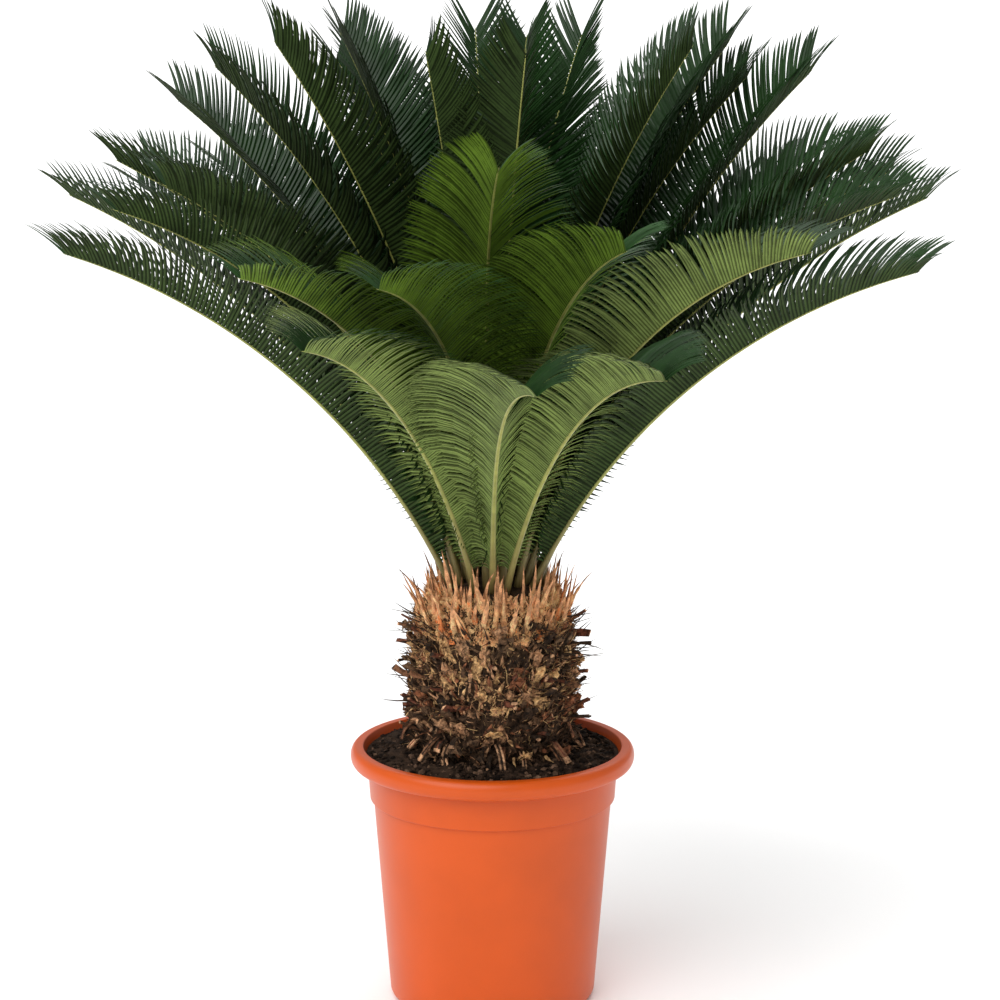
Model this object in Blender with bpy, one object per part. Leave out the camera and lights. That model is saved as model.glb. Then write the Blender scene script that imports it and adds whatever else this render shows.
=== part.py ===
"""A sago palm in its plastic nursery pot: pot, soil, stem, collar of scale leaves and fronds.

Metres, +Z up. The pot stands on the ground plane with its axis on Z, and the front of the
plant faces -Y. Each frond is a stiff blade: a three-sided rib with a row of leaflet teeth
on either side, cut to the rib between one tooth and the next.
"""
import math
import random
from collections import namedtuple

import bmesh
import bpy
from mathutils import Vector
from mathutils.bvhtree import BVHTree

GAP = 0.0003

# pot
SIDES = 40
POT_HEIGHT = 0.302
RIM_RADIUS = 0.165
LIP_HEIGHT = 0.022
LIP_INNER_RADIUS = 0.150
BASE_RADIUS = 0.1203
BASE_CORNER = 0.011
LEDGE_HEIGHT = 0.240
LEDGE_RADIUS = 0.1385
BAND_STEP = 0.0042
BAND_TOP_RADIUS = 0.1455
WALL = 0.003
FLOOR = 0.004
DRAIN_HOLES = 6
DRAIN_RING = 0.070
DRAIN_RADIUS = 0.007

# soil, nearly level with the lip and heaped a little round the stem
SOIL_EDGE_HEIGHT = 0.293
SOIL_TOP = 0.303
SOIL_TOP_RADIUS = 0.088

# stem
STEM_COLUMNS = 20
STEM_ROWS = 9
STEM_FOOT_RADIUS = 0.074
STEM_RADIUS = 0.089
STEM_SWELL = (0.12, 0.72, 0.6)
STEM_LEDGE = 0.4517
STUB_LENGTH = (0.010, 0.026)
NECK_RADIUS = 0.066
DOME_BASE = 0.470
DOME_RISE = 0.035
DOME_RADIUS = 0.085
DOME_RINGS = (0.82, 0.62, 0.42, 0.22)

# collar of woolly scale leaves
COLLAR_SCALES = 30
COLLAR_BOTTOM = 0.452
COLLAR_TOP = 0.474
COLLAR_THICKNESS = 0.0110
SCALE_HEIGHT = (0.044, 0.070)
SCALE_LEAN = 12
SPINE_LENGTH = (0.012, 0.024)
SPINE_LEAN = 45
# Parts of its full length, in the order of trying.
SCALE_TRIES = (1.0, 0.8, 0.6, 0.45, 0.3, 0.15)

# fronds
FROND_LENGTH = 0.65
STATIONS = 20
PATH_STEPS = 60
BEND = 1.05
BARE_PART = 0.09
RIB_WIDTH = 0.0092
RIB_DEPTH = 0.0080
RIB_TAPER = 0.72
LEAFLET_MAX = 0.125
LEAFLET_MARGIN = 0.0005
TIP_MARGIN = 0.002
TIP_LENGTH = 0.045
TIP_RISE = 0.004
LEAFLET_SWELL = (0.12, 0.76, 0.8)
AWAY_AT_FOOT = 80
AWAY_AT_TIP = 32
AWAY_BEND = 3.0
ABOVE_AT_FOOT = 30
ABOVE_AT_TIP = 38
# Degrees by which a tooth is raised, and the part of its full length, in the order of trying.
TOOTH_TRIES = ((0, 1.0), (13, 1.0), (-13, 1.0), (0, 0.8), (13, 0.75), (-13, 0.75),
               (0, 0.6), (18, 0.5), (-18, 0.5), (0, 0.4), (0, 0.25))

# Angles are in degrees. A heading of 0 points to +X, and 270 to the front. The two lean values
# are added to the pitches of a frond that points straight to the front, and less to its sides.
# Stagger lifts every second frond of a tier and lowers the rest. The fronds at the sides are
# rolled to show their upper face to the front.
Tier = namedtuple("Tier", "name count phase foot pitch_foot pitch_tip length "
                          "lean_foot lean_tip stagger empty")
TIERS = (
    Tier("low", 16, 246, 0.050, 65, 22, FROND_LENGTH, -8, -17, 0, (3, 15)),
    Tier("spread", 14, 235, 0.041, 73, 24, FROND_LENGTH, 2, -14, 0, ()),
    Tier("rising", 13, 268, 0.031, 79, 40, FROND_LENGTH + 0.01, -3, -17, 4, (1, 2, 12)),
    Tier("upright", 11, 93, 0.019, 84, 55, FROND_LENGTH + 0.01, 0, 0, 4, (4, 5, 6, 7)),
    Tier("heart", 3, 70, 0.007, 88, 80, FROND_LENGTH - 0.03, 0, 0, 0, ()),
    Tier("shoulder", 1, 10, 0.057, 79, 44, FROND_LENGTH + 0.01, 0, 0, 0, ()),
)
HEADING_SPREAD = 3.5
PITCH_SPREAD = 3.0
LENGTH_SPREAD = 0.03
ROLL_SPREAD = 7.0
ROLL_TO_FRONT = 8.0
SWAY_SPREAD = 12.0
SWAY_BEND = 1.5
FRONT_SHORTER = 0.07
SEED = 62686

# colours and roughness
POT_ORANGE = (0.77, 0.13, 0.027)
POT_ROUGHNESS = 0.42
PEAT_BLACK = (0.012, 0.009, 0.007)
STEM_BROWN = (0.09, 0.05, 0.03)
WOOL_TAN = (0.42, 0.20, 0.10)
FIBRE_ROUGHNESS = 0.9
FROND_GREEN = (0.03, 0.10, 0.035)
FROND_ROUGHNESS = 0.4


def clear_scene():
    for item in list(bpy.data.objects):
        bpy.data.objects.remove(item, do_unlink=True)


def material(name, colour, roughness):
    mat = bpy.data.materials.new(name)
    mat.use_nodes = True
    shader = mat.node_tree.nodes["Principled BSDF"]
    shader.inputs["Base Color"].default_value = (*colour, 1.0)
    shader.inputs["Roughness"].default_value = roughness
    shader.inputs["Metallic"].default_value = 0.0
    return mat


def add_object(name, bm, mat, smooth_angle=None):
    """Turns a finished bmesh into a named object with its one material."""
    mesh = bpy.data.meshes.new(name)
    bm.to_mesh(mesh)
    bm.free()
    mesh.materials.append(mat)
    if smooth_angle is not None:
        mesh.shade_smooth()
        mesh.set_sharp_from_angle(angle=math.radians(smooth_angle))
    obj = bpy.data.objects.new(name, mesh)
    bpy.context.scene.collection.objects.link(obj)
    return obj


def turned(profile, sides):
    """Spins a closed profile of (radius, height) points round Z; its ends may lie on the axis."""
    bm = bmesh.new()
    verts = [bm.verts.new((r, 0.0, z)) for r, z in profile]
    edges = [bm.edges.new(pair) for pair in zip(verts, verts[1:])]
    bmesh.ops.spin(bm, geom=verts + edges, cent=(0, 0, 0), axis=(0, 0, 1),
                   angle=math.tau, steps=sides, use_merge=True, use_duplicate=False)
    bmesh.ops.remove_doubles(bm, verts=bm.verts, dist=1e-6)
    bmesh.ops.recalc_face_normals(bm, faces=bm.faces)
    return bm


def arc(centre_r, centre_z, radius_r, radius_z, start, end, steps):
    """Points on an ellipse's arc, by angle in degrees from the outward direction."""
    points = []
    for k in range(steps + 1):
        a = math.radians(start + (end - start) * k / steps)
        points.append((centre_r + radius_r * math.cos(a), centre_z + radius_z * math.sin(a)))
    return points


def inner_radius(z):
    """Radius of the pot's inner wall at a height."""
    low = (FLOOR, BASE_RADIUS - WALL)
    ledge = (LEDGE_HEIGHT, LEDGE_RADIUS - WALL)
    band = (POT_HEIGHT - LIP_HEIGHT, BAND_TOP_RADIUS - WALL)
    lip = (POT_HEIGHT, LIP_INNER_RADIUS)
    for (z0, r0), (z1, r1) in ((low, ledge), (ledge, band), (band, lip)):
        if z <= z1:
            return r0 + (r1 - r0) * (z - z0) / (z1 - z0)
    return LIP_INNER_RADIUS


def pot_profile():
    corner = arc(BASE_RADIUS - BASE_CORNER, BASE_CORNER, BASE_CORNER, BASE_CORNER, -90, 0, 4)
    lip_bottom = POT_HEIGHT - LIP_HEIGHT
    lip_mid = POT_HEIGHT - LIP_HEIGHT / 2
    crest = (RIM_RADIUS + LIP_INNER_RADIUS) / 2
    outside = [(0.0, 0.0)] + corner
    outside += [(LEDGE_RADIUS, LEDGE_HEIGHT), (LEDGE_RADIUS + BAND_STEP, LEDGE_HEIGHT + BAND_STEP / 2)]
    outside += [(BAND_TOP_RADIUS, lip_bottom + WALL)]
    lip = arc(crest, lip_mid, RIM_RADIUS - crest, LIP_HEIGHT / 2, -90, 90, 6)
    inside = [(LIP_INNER_RADIUS, POT_HEIGHT - WALL / 2)]
    inside += [(inner_radius(z), z) for z in (lip_bottom, LEDGE_HEIGHT, 2 * FLOOR)]
    inside += [(inner_radius(FLOOR) - FLOOR, FLOOR), (0.0, FLOOR)]
    return outside + lip + inside


def build_pot(mat):
    pot = add_object("pot", turned(pot_profile(), SIDES), mat, 35)
    bm = bmesh.new()
    for k in range(DRAIN_HOLES):
        a = math.tau * k / DRAIN_HOLES
        made = bmesh.ops.create_cone(bm, cap_ends=True, segments=12, radius1=DRAIN_RADIUS,
                                     radius2=DRAIN_RADIUS, depth=4 * FLOOR)
        bmesh.ops.translate(bm, verts=made["verts"],
                            vec=(DRAIN_RING * math.cos(a), DRAIN_RING * math.sin(a), 0.0))
    cutter = add_object("drain_cutter", bm, mat)
    cutter.hide_render = True
    cutter.display_type = "WIRE"
    cut = pot.modifiers.new("drain_holes", "BOOLEAN")
    cut.operation = "DIFFERENCE"
    cut.solver = "EXACT"
    cut.object = cutter
    return pot


def build_soil(mat):
    heights = (2 * FLOOR, LEDGE_HEIGHT, POT_HEIGHT - LIP_HEIGHT, SOIL_EDGE_HEIGHT)
    profile = [(0.0, FLOOR + GAP), (inner_radius(FLOOR) - FLOOR - GAP, FLOOR + GAP)]
    profile += [(inner_radius(z) - 1.5 * GAP, z) for z in heights]
    profile += [(SOIL_TOP_RADIUS, SOIL_TOP), (0.0, SOIL_TOP)]
    return add_object("soil", turned(profile, SIDES), mat, 35)


def dome_height(r):
    return DOME_BASE + DOME_RISE * (1 - (r / DOME_RADIUS) ** 2)


def stem_radius(part):
    """Radius between the stubs, from the flat cut at the soil (0) to the ledge (1)."""
    start, span, fullness = STEM_SWELL
    swell = math.sin(math.pi * (start + span * part)) ** fullness
    return STEM_FOOT_RADIUS + (STEM_RADIUS - STEM_FOOT_RADIUS) * swell


def ring(bm, radius, z, count, offset=0.0):
    verts = []
    for k in range(count):
        a = math.tau * (k + offset) / count
        verts.append(bm.verts.new((radius * math.cos(a), radius * math.sin(a), z)))
    return verts


def stub(bm, rng, corners, lift):
    """One broken leaf base: a blunt spike on its diamond of the stem."""
    centre = sum((v.co for v in corners), Vector()) / len(corners)
    out = Vector((centre.x, centre.y, 0.0)).normalized()
    tip = centre + out * rng.uniform(*STUB_LENGTH) + Vector((0, 0, rng.uniform(0.0, lift)))
    apex = bm.verts.new(tip)
    for a, b in zip(corners, corners[1:] + corners[:1]):
        bm.faces.new((a, b, apex))


def build_trunk(mat):
    """The stem: diamonds of old leaf bases, a ledge for the collar and a low dome on top."""
    rng = random.Random(SEED + 1)
    bm = bmesh.new()
    foot = SOIL_TOP + GAP
    step = (STEM_LEDGE - GAP - foot) / STEM_ROWS
    rings = []
    for row in range(STEM_ROWS + 1):
        part = row / STEM_ROWS
        rings.append(ring(bm, stem_radius(part), foot + row * step, STEM_COLUMNS, (row % 2) / 2))
    for row in range(STEM_ROWS + 1):
        for k in range(STEM_COLUMNS):
            after = (k + 1) % STEM_COLUMNS
            middle = after if row % 2 else k
            left, right = rings[row][k], rings[row][after]
            below = rings[row - 1][middle] if row > 0 else None
            above = rings[row + 1][middle] if row < STEM_ROWS else None
            if below is None:
                bm.faces.new((left, right, above))
            elif above is None:
                bm.faces.new((left, below, right))
            else:
                stub(bm, rng, [left, below, right, above], 0.4 * step)
    bm.faces.new(list(reversed(rings[0])))
    neck_bottom = ring(bm, NECK_RADIUS, STEM_LEDGE - GAP, STEM_COLUMNS, (STEM_ROWS % 2) / 2)
    bridge(bm, rings[-1], neck_bottom)
    last = ring(bm, NECK_RADIUS, dome_height(NECK_RADIUS), STEM_COLUMNS, (STEM_ROWS % 2) / 2)
    bridge(bm, neck_bottom, last)
    for part in DOME_RINGS:
        r = NECK_RADIUS * part
        higher = ring(bm, r, dome_height(r), STEM_COLUMNS, (STEM_ROWS % 2) / 2)
        bridge(bm, last, higher)
        last = higher
    bm.faces.new(last)
    bmesh.ops.triangulate(bm, faces=bm.faces)
    return add_object("trunk", bm, mat)


def bridge(bm, lower, upper):
    """Faces between two rings of equal count, facing outwards when lower lies below upper."""
    count = len(lower)
    for k in range(count):
        after = (k + 1) % count
        bm.faces.new((lower[k], lower[after], upper[after], upper[k]))


def frond_rows():
    """Each frond's name and its own values, worked out from its tier."""
    rng = random.Random(SEED)
    rows = []
    for tier in TIERS:
        for k in range(tier.count):
            heading = tier.phase + 360 * k / tier.count + rng.uniform(-HEADING_SPREAD, HEADING_SPREAD)
            pitch = rng.uniform(-PITCH_SPREAD, PITCH_SPREAD) + tier.stagger * (-1) ** k
            length = tier.length * (1 + rng.uniform(-LENGTH_SPREAD, LENGTH_SPREAD))
            roll = rng.uniform(-ROLL_SPREAD, ROLL_SPREAD)
            sway = rng.uniform(-SWAY_SPREAD, SWAY_SPREAD)
            if k in tier.empty:
                continue
            front = max(0.0, -math.sin(math.radians(heading)))
            rows.append({
                "name": f"frond_{tier.name}_{k + 1:02d}",
                "foot": tier.foot,
                "heading": math.radians(heading),
                "pitch_foot": math.radians(tier.pitch_foot + pitch + tier.lean_foot * front),
                "pitch_tip": math.radians(tier.pitch_tip + pitch + tier.lean_tip * front),
                "length": length * (1 - FRONT_SHORTER * front),
                "roll": math.radians(roll + ROLL_TO_FRONT * math.cos(math.radians(heading))),
                "sway": math.radians(sway),
            })
    return rows


def frond_path(row):
    """Points and frames along a frond: part of the length, point, along, sideways, upper side."""
    foot, h = row["foot"], row["heading"]
    point = Vector((foot * math.cos(h), foot * math.sin(h), dome_height(foot)))
    path = []
    for k in range(PATH_STEPS + 1):
        s = k / PATH_STEPS
        h = row["heading"] + row["sway"] * s ** SWAY_BEND
        outward = Vector((math.cos(h), math.sin(h), 0.0))
        side = Vector((-math.sin(h), math.cos(h), 0.0))
        pitch = row["pitch_foot"] + (row["pitch_tip"] - row["pitch_foot"]) * s ** BEND
        along = outward * math.cos(pitch) + Vector((0, 0, math.sin(pitch)))
        upper = along.cross(side)
        turned_side = side * math.cos(row["roll"]) + upper * math.sin(row["roll"])
        turned_upper = upper * math.cos(row["roll"]) - side * math.sin(row["roll"])
        path.append((s, point.copy(), along, turned_side, turned_upper))
        point += along * (row["length"] / PATH_STEPS)
    return path


def at(path, s):
    """The path's frame at a part of its length, between its steps."""
    place = s * PATH_STEPS
    k = min(PATH_STEPS - 1, int(place))
    f = place - k
    a, b = path[k], path[k + 1]
    return [x * (1 - f) + y * f for x, y in zip(a, b)]


def leaflet_length(s, frond_length):
    """Short at both ends of the blade and longest in its middle."""
    start, span, fullness = LEAFLET_SWELL
    shape = math.sin(math.pi * (start + span * s)) ** fullness
    return LEAFLET_MAX * shape * frond_length / FROND_LENGTH


def leaflet_angles(s):
    """Angle from the rib and angle above the blade's plane, in radians."""
    away = AWAY_AT_FOOT + (AWAY_AT_TIP - AWAY_AT_FOOT) * s ** AWAY_BEND
    above = ABOVE_AT_FOOT + (ABOVE_AT_TIP - ABOVE_AT_FOOT) * s
    return math.radians(away), math.radians(above)


def rib_section(frame):
    """The rib's three corners at a frame: left, right and keel."""
    s, point, _, side, upper = frame
    half = RIB_WIDTH * (1 - RIB_TAPER * s) / 2
    depth = RIB_DEPTH * (1 - RIB_TAPER * s)
    left = point + side * half + upper * (depth / 3)
    right = point - side * half + upper * (depth / 3)
    keel = point - upper * (depth * 2 / 3)
    return [left, right, keel]


def tooth_base(low, high, side):
    """The rib's face between two sections on the side that a tooth grows from."""
    edge = 0 if side > 0 else 1
    return [low[edge], high[edge], high[2], low[2]]


def distance_to(tree, corners):
    """Least distance from points spread over a triangle to a surface."""
    a, b, c = corners
    spots = [a, b, c, (a + b) / 2, (b + c) / 2, (c + a) / 2, (a + b + c) / 3]
    return min(tree.find_nearest(spot)[3] for spot in spots)


def seat_foot(sections, trunk_tree):
    """Ends the rib on the stem: each corner of its foot stops just short of the surface."""
    foot = []
    for high, low in zip(sections[1], sections[0]):
        ray = (low - high).normalized()
        hit = trunk_tree.ray_cast(high, ray)
        foot.append(hit[0] - ray * GAP)
    lift = (sections[1][2] - foot[2]).normalized()
    for _ in range(4):
        short = GAP - distance_to(trunk_tree, foot)
        if short > GAP / 20:
            foot = [corner + lift * short for corner in foot]
    sections[0] = foot


class Frond:
    """Collects one frond's corners and faces while its teeth are being placed."""

    def __init__(self, row, trunk_tree):
        self.row = row
        self.path = frond_path(row)
        first = BARE_PART
        self.parts = [0.0, first] + [first + (1 - first) * (k + 1) / STATIONS for k in range(STATIONS)]
        self.sections = [rib_section(at(self.path, s)) for s in self.parts]
        seat_foot(self.sections, trunk_tree)
        end = at(self.path, 1.0)
        self.tip = end[1] + end[2] * TIP_LENGTH + end[4] * TIP_RISE
        self.teeth = {}

    def rib_triangles(self):
        tris = []
        for low, high in zip(self.sections, self.sections[1:]):
            for a, b in ((0, 1), (1, 2), (2, 0)):
                tris += [(low[a], low[b], high[b]), (low[a], high[b], high[a])]
        left, right, keel = self.sections[-1]
        tris += [(left, right, self.tip), (right, keel, self.tip), (keel, left, self.tip)]
        return tris

    def tooth(self, k, side, rise, scale):
        """Corners of one tooth on the rib between section k and the next, and its tip."""
        middle = (self.parts[k] + self.parts[k + 1]) / 2
        s = (middle - BARE_PART) / (1 - BARE_PART)
        _, point, along, across, upper = at(self.path, middle)
        away, above = leaflet_angles(s)
        above += math.radians(rise)
        direction = along * math.cos(away)
        direction += (across * (side * math.cos(above)) + upper * math.sin(above)) * math.sin(away)
        tip = point + direction * (leaflet_length(s, self.row["length"]) * scale)
        return tooth_base(self.sections[k], self.sections[k + 1], side), tip, upper

    def place_teeth(self, limbs, finished):
        """Longest tooth at each place that touches no limb and no finished frond."""
        for k in range(1, len(self.parts) - 1):
            for side in (1, -1):
                for rise, scale in TOOTH_TRIES:
                    base, tip, upper = self.tooth(k, side, rise, scale)
                    probe = tooth_probe(base, tip, upper)
                    if any(probe.overlap(tree) for tree in limbs + finished):
                        continue
                    self.teeth[(k, side)] = tip
                    break

    def tooth_triangles(self):
        tris = []
        for (k, side), tip in self.teeth.items():
            base = tooth_base(self.sections[k], self.sections[k + 1], side)
            tris += [(a, b, tip) for a, b in zip(base, base[1:] + base[:1])]
        return tris

    def build(self):
        bm = bmesh.new()
        rows = [[bm.verts.new(corner) for corner in section] for section in self.sections]
        last = len(rows) - 1
        bm.faces.new(rows[0])
        for k, (low, high) in enumerate(zip(rows, rows[1:])):
            bm.faces.new((low[0], low[1], high[1], high[0]))
            for side in (1, -1):
                base = tooth_base(low, high, side)
                if (k, side) in self.teeth:
                    apex = bm.verts.new(self.teeth[(k, side)])
                    for a, b in zip(base, base[1:] + base[:1]):
                        bm.faces.new((a, b, apex))
                else:
                    bm.faces.new(base)
        end = bm.verts.new(self.tip)
        for a, b in zip(rows[last], rows[last][1:] + rows[last][:1]):
            bm.faces.new((a, b, end))
        bmesh.ops.triangulate(bm, faces=bm.faces)
        bmesh.ops.recalc_face_normals(bm, faces=bm.faces)
        name = self.row["name"]
        return add_object(name, bm, material(name, FROND_GREEN, FROND_ROUGHNESS))


def tree_of(triangles):
    points = [corner for tri in triangles for corner in tri]
    return BVHTree.FromPolygons(points, [(3 * k, 3 * k + 1, 3 * k + 2) for k in range(len(triangles))])


def object_tree(obj):
    return BVHTree.FromPolygons([v.co for v in obj.data.vertices], [p.vertices for p in obj.data.polygons])


def tooth_probe(base, tip, upper):
    """A tooth made a little thicker and longer, to test that it keeps clear of the rest."""
    out = (tip - sum(base, Vector()) / 4).normalized()
    start = [corner + out * TIP_MARGIN for corner in base]
    margin = upper * LEAFLET_MARGIN
    a, b, c, d = start[0] + margin, start[1] + margin, start[2] - margin, start[3] - margin
    end = tip + out * TIP_MARGIN
    top, bottom = end + margin, end - margin
    points = [a, b, c, d, top, bottom]
    faces = [(0, 1, 4), (1, 2, 5, 4), (2, 3, 5), (3, 0, 4, 5), (0, 1, 2, 3)]
    return BVHTree.FromPolygons(points, faces)


def collar_shape(limbs):
    """Band of scale leaves round the top of the stem: a row of points and a row of spines."""
    rng = random.Random(SEED + 2)
    count = COLLAR_SCALES
    inner = (NECK_RADIUS + GAP) / math.cos(math.pi / count)
    outer = inner + COLLAR_THICKNESS
    bm = bmesh.new()
    corners = ((inner, COLLAR_BOTTOM), (outer, COLLAR_BOTTOM), (outer, COLLAR_TOP), (inner, COLLAR_TOP))
    rings = [ring(bm, r, z, count) for r, z in corners]
    inner_low, outer_low, outer_high, inner_high = rings
    for k in range(count):
        after = (k + 1) % count
        bm.faces.new((inner_low[after], outer_low[after], outer_low[k], inner_low[k]))
        bm.faces.new((inner_low[k], inner_high[k], inner_high[after], inner_low[after]))
        base = [outer_high[k], outer_high[after], inner_high[after], inner_high[k]]
        face = [outer_low[k], outer_low[after], outer_high[after], outer_high[k]]
        scale_leaf(bm, base, rng.uniform(*SCALE_HEIGHT), SCALE_LEAN, limbs)
        scale_leaf(bm, face, rng.uniform(*SPINE_LENGTH), SPINE_LEAN, limbs)
    bmesh.ops.triangulate(bm, faces=bm.faces)
    return bm


def scale_leaf(bm, base, height, lean, limbs):
    """A pointed scale on four corners, shorter where a frond stands in its way."""
    centre = sum((v.co for v in base), Vector()) / 4
    out = Vector((centre.x, centre.y, 0.0)).normalized()
    angle = math.radians(lean)
    direction = out * math.sin(angle) + Vector((0, 0, math.cos(angle)))
    for part in SCALE_TRIES:
        tip = centre + direction * height * part
        points = [v.co + (v.co - centre).normalized() * LEAFLET_MARGIN for v in base]
        points += [tip + direction * TIP_MARGIN]
        faces = [(k, (k + 1) % 4, 4) for k in range(4)]
        if not any(BVHTree.FromPolygons(points, faces).overlap(tree) for tree in limbs):
            apex = bm.verts.new(tip)
            for a, b in zip(base, base[1:] + base[:1]):
                bm.faces.new((a, b, apex))
            return
    bm.faces.new(base)


def build_crown(collar_mat, trunk):
    """The collar and the fronds: each keeps clear of the stem and of what is already made."""
    trunk_tree = object_tree(trunk)
    fronds = [Frond(row, trunk_tree) for row in frond_rows()]
    ribs = [tree_of(frond.rib_triangles()) for frond in fronds]
    collar = add_object("scale_collar", collar_shape(ribs), collar_mat)
    fixed = [trunk_tree, object_tree(collar)]
    finished = []
    for k, frond in enumerate(fronds):
        frond.place_teeth(fixed + ribs[:k] + ribs[k + 1:], finished)
        if frond.teeth:
            finished.append(tree_of(frond.tooth_triangles()))
        frond.build()


def main():
    clear_scene()
    build_pot(material("pot_plastic", POT_ORANGE, POT_ROUGHNESS))
    build_soil(material("peat", PEAT_BLACK, FIBRE_ROUGHNESS))
    trunk = build_trunk(material("old_leaf_bases", STEM_BROWN, FIBRE_ROUGHNESS))
    build_crown(material("woolly_scales", WOOL_TAN, FIBRE_ROUGHNESS), trunk)


main()
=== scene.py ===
"""A sago palm in its orange nursery pot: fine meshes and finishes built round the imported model.

Metres, +Z up, the front of the plant towards -Y. The script is laid out as an add-on: settings,
one operator for each kind of piece, one for the stage, and a panel that lists them.
"""
import math
import random
from collections import namedtuple

import bmesh
import bpy
import numpy as np
from bpy.props import FloatProperty, FloatVectorProperty, IntProperty, PointerProperty
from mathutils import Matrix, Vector, noise


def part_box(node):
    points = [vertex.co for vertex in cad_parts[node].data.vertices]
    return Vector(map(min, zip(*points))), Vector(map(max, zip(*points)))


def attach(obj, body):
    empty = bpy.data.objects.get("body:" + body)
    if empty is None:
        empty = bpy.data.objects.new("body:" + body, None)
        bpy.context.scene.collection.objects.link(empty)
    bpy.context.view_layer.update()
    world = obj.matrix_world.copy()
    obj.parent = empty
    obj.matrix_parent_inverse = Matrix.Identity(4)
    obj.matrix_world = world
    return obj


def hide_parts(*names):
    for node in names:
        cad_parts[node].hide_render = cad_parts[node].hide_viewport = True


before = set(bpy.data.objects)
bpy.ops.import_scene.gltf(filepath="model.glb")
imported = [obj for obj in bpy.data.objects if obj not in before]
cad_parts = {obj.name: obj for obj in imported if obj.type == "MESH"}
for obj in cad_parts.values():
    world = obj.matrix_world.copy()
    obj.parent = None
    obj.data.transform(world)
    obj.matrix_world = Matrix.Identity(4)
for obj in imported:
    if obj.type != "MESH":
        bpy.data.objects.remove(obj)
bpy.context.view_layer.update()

bl_info = {
    "name": "Sago Palm in Pot",
    "version": (1, 0, 0),
    "blender": (4, 5, 0),
    "location": "View3D > Sidebar > Sago Palm",
    "description": "Builds a potted sago palm: pot, soil, stem, scale leaves, fronds and a plain stage",
    "category": "Object",
}

POT_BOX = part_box("pot")
SOIL_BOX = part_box("soil")
STEM_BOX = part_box("trunk")
COLLAR_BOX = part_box("scale_collar")

# pot
BASE_CORNER = 0.011
FLOOR = 0.004
BAND_STEP = 0.0042
BAND_TOP_RADIUS = 0.1455
BAND_CORNER = 0.0012
LEDGE_FILLET = (0.0008, 0.0004)
LIP_INNER_RADIUS = 0.150
LIP_CORNER = 0.0015
DRAIN_HOLES = 6
DRAIN_RING = 0.070
DRAIN_RADIUS = 0.007

# soil: how far it lies under the rim at the wall, how wide it is heaped at the stem, where clods lie
SOIL_DROP = 0.009
HEAP_RADIUS = 0.088
CLOD_RING = (0.062, 0.1415)
CLOD_LIMIT = 0.1425
CLOD_CHANCES = (0.52, 0.32, 0.16)

# stem, whose swell is the start, span and fullness of a part of a sine wave
STEM_FOOT = STEM_BOX[0].z
STEM_LEDGE = COLLAR_BOX[0].z
STEM_FOOT_RADIUS = 0.074
STEM_SWELL = (0.12, 0.72, 0.6)
SHOULDER_DROP = 0.004
NECK_RADIUS = 0.066
DOME_BASE = 0.470
DOME_RISE = 0.035
DOME_RADIUS = 0.085
GOLDEN_ANGLE = math.pi * (3 - math.sqrt(5))
CRUMBS = 1300
STRAP_FLOOR = 0.294

# chances of each tone of the stem in each zone, from the foot up to the grey band under the scale leaves
ZONE_TOPS = (0.338, 0.366, 0.424)
ZONE_CHANCES = np.array((
    (0.55, 0.30, 0.07, 0.02, 0.00, 0.06, 0.00),
    (0.20, 0.38, 0.20, 0.07, 0.00, 0.15, 0.00),
    (0.00, 0.08, 0.28, 0.31, 0.02, 0.14, 0.17),
    (0.00, 0.08, 0.12, 0.12, 0.43, 0.05, 0.20),
))

# scale leaves: radius and height of each whorl's feet, and their outline and thickness along them
WHORL_RADII = np.array((0.080, 0.076, 0.070, 0.063))
WHORL_FEET = np.array((0.444, 0.452, 0.460, 0.468))
SCALE_WIDTH = ((0, 0.2, 0.45, 0.7, 0.9, 1), (0.9, 1.0, 0.85, 0.5, 0.18, 0))
SCALE_DEPTH = ((0, 0.2, 0.45, 0.7, 0.9, 1), (1.0, 1.15, 0.8, 0.35, 0.14, 0))

# the wool's lowest height, its radius there and how much nearer the axis its top is
WOOL_FOOT = 0.441
WOOL_RADIUS = 0.0870
WOOL_NARROWING = 0.015

# The fronds' rule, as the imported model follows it. Angles are in degrees; a heading of 0 points
# to +X and 270 to the front.
FROND_LENGTH = 0.65
PATH_STEPS = 60
BEND = 1.05
BARE_PART = 0.09
RIB_WIDTH = 0.0092
RIB_DEPTH = 0.0080
RIB_TAPER = 0.72
LEAFLET_SWELL = (0.12, 0.76, 0.8)
AWAY_AT_FOOT = 80
AWAY_AT_TIP = 32
AWAY_BEND = 3.0
ABOVE_AT_FOOT = 30
ABOVE_AT_TIP = 38
Tier = namedtuple("Tier", "name count phase foot pitch_foot pitch_tip length "
                          "lean_foot lean_tip stagger empty")
TIERS = (
    Tier("low", 16, 246, 0.050, 65, 22, FROND_LENGTH, -8, -17, 0, (3, 15)),
    Tier("spread", 14, 235, 0.041, 73, 24, FROND_LENGTH, 2, -14, 0, ()),
    Tier("rising", 13, 268, 0.031, 79, 40, FROND_LENGTH + 0.01, -3, -17, 4, (1, 2, 12)),
    Tier("upright", 11, 93, 0.019, 84, 55, FROND_LENGTH + 0.01, 0, 0, 4, (4, 5, 6, 7)),
    Tier("heart", 3, 70, 0.007, 88, 80, FROND_LENGTH - 0.03, 0, 0, 0, ()),
    Tier("shoulder", 1, 10, 0.057, 79, 44, FROND_LENGTH + 0.01, 0, 0, 0, ()),
)
HEADING_SPREAD = 3.5
PITCH_SPREAD = 3.0
LENGTH_SPREAD = 0.03
ROLL_SPREAD = 7.0
ROLL_TO_FRONT = 8.0
SWAY_SPREAD = 12.0
SWAY_BEND = 1.5
FRONT_SHORTER = 0.07
SEED = 62686

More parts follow.
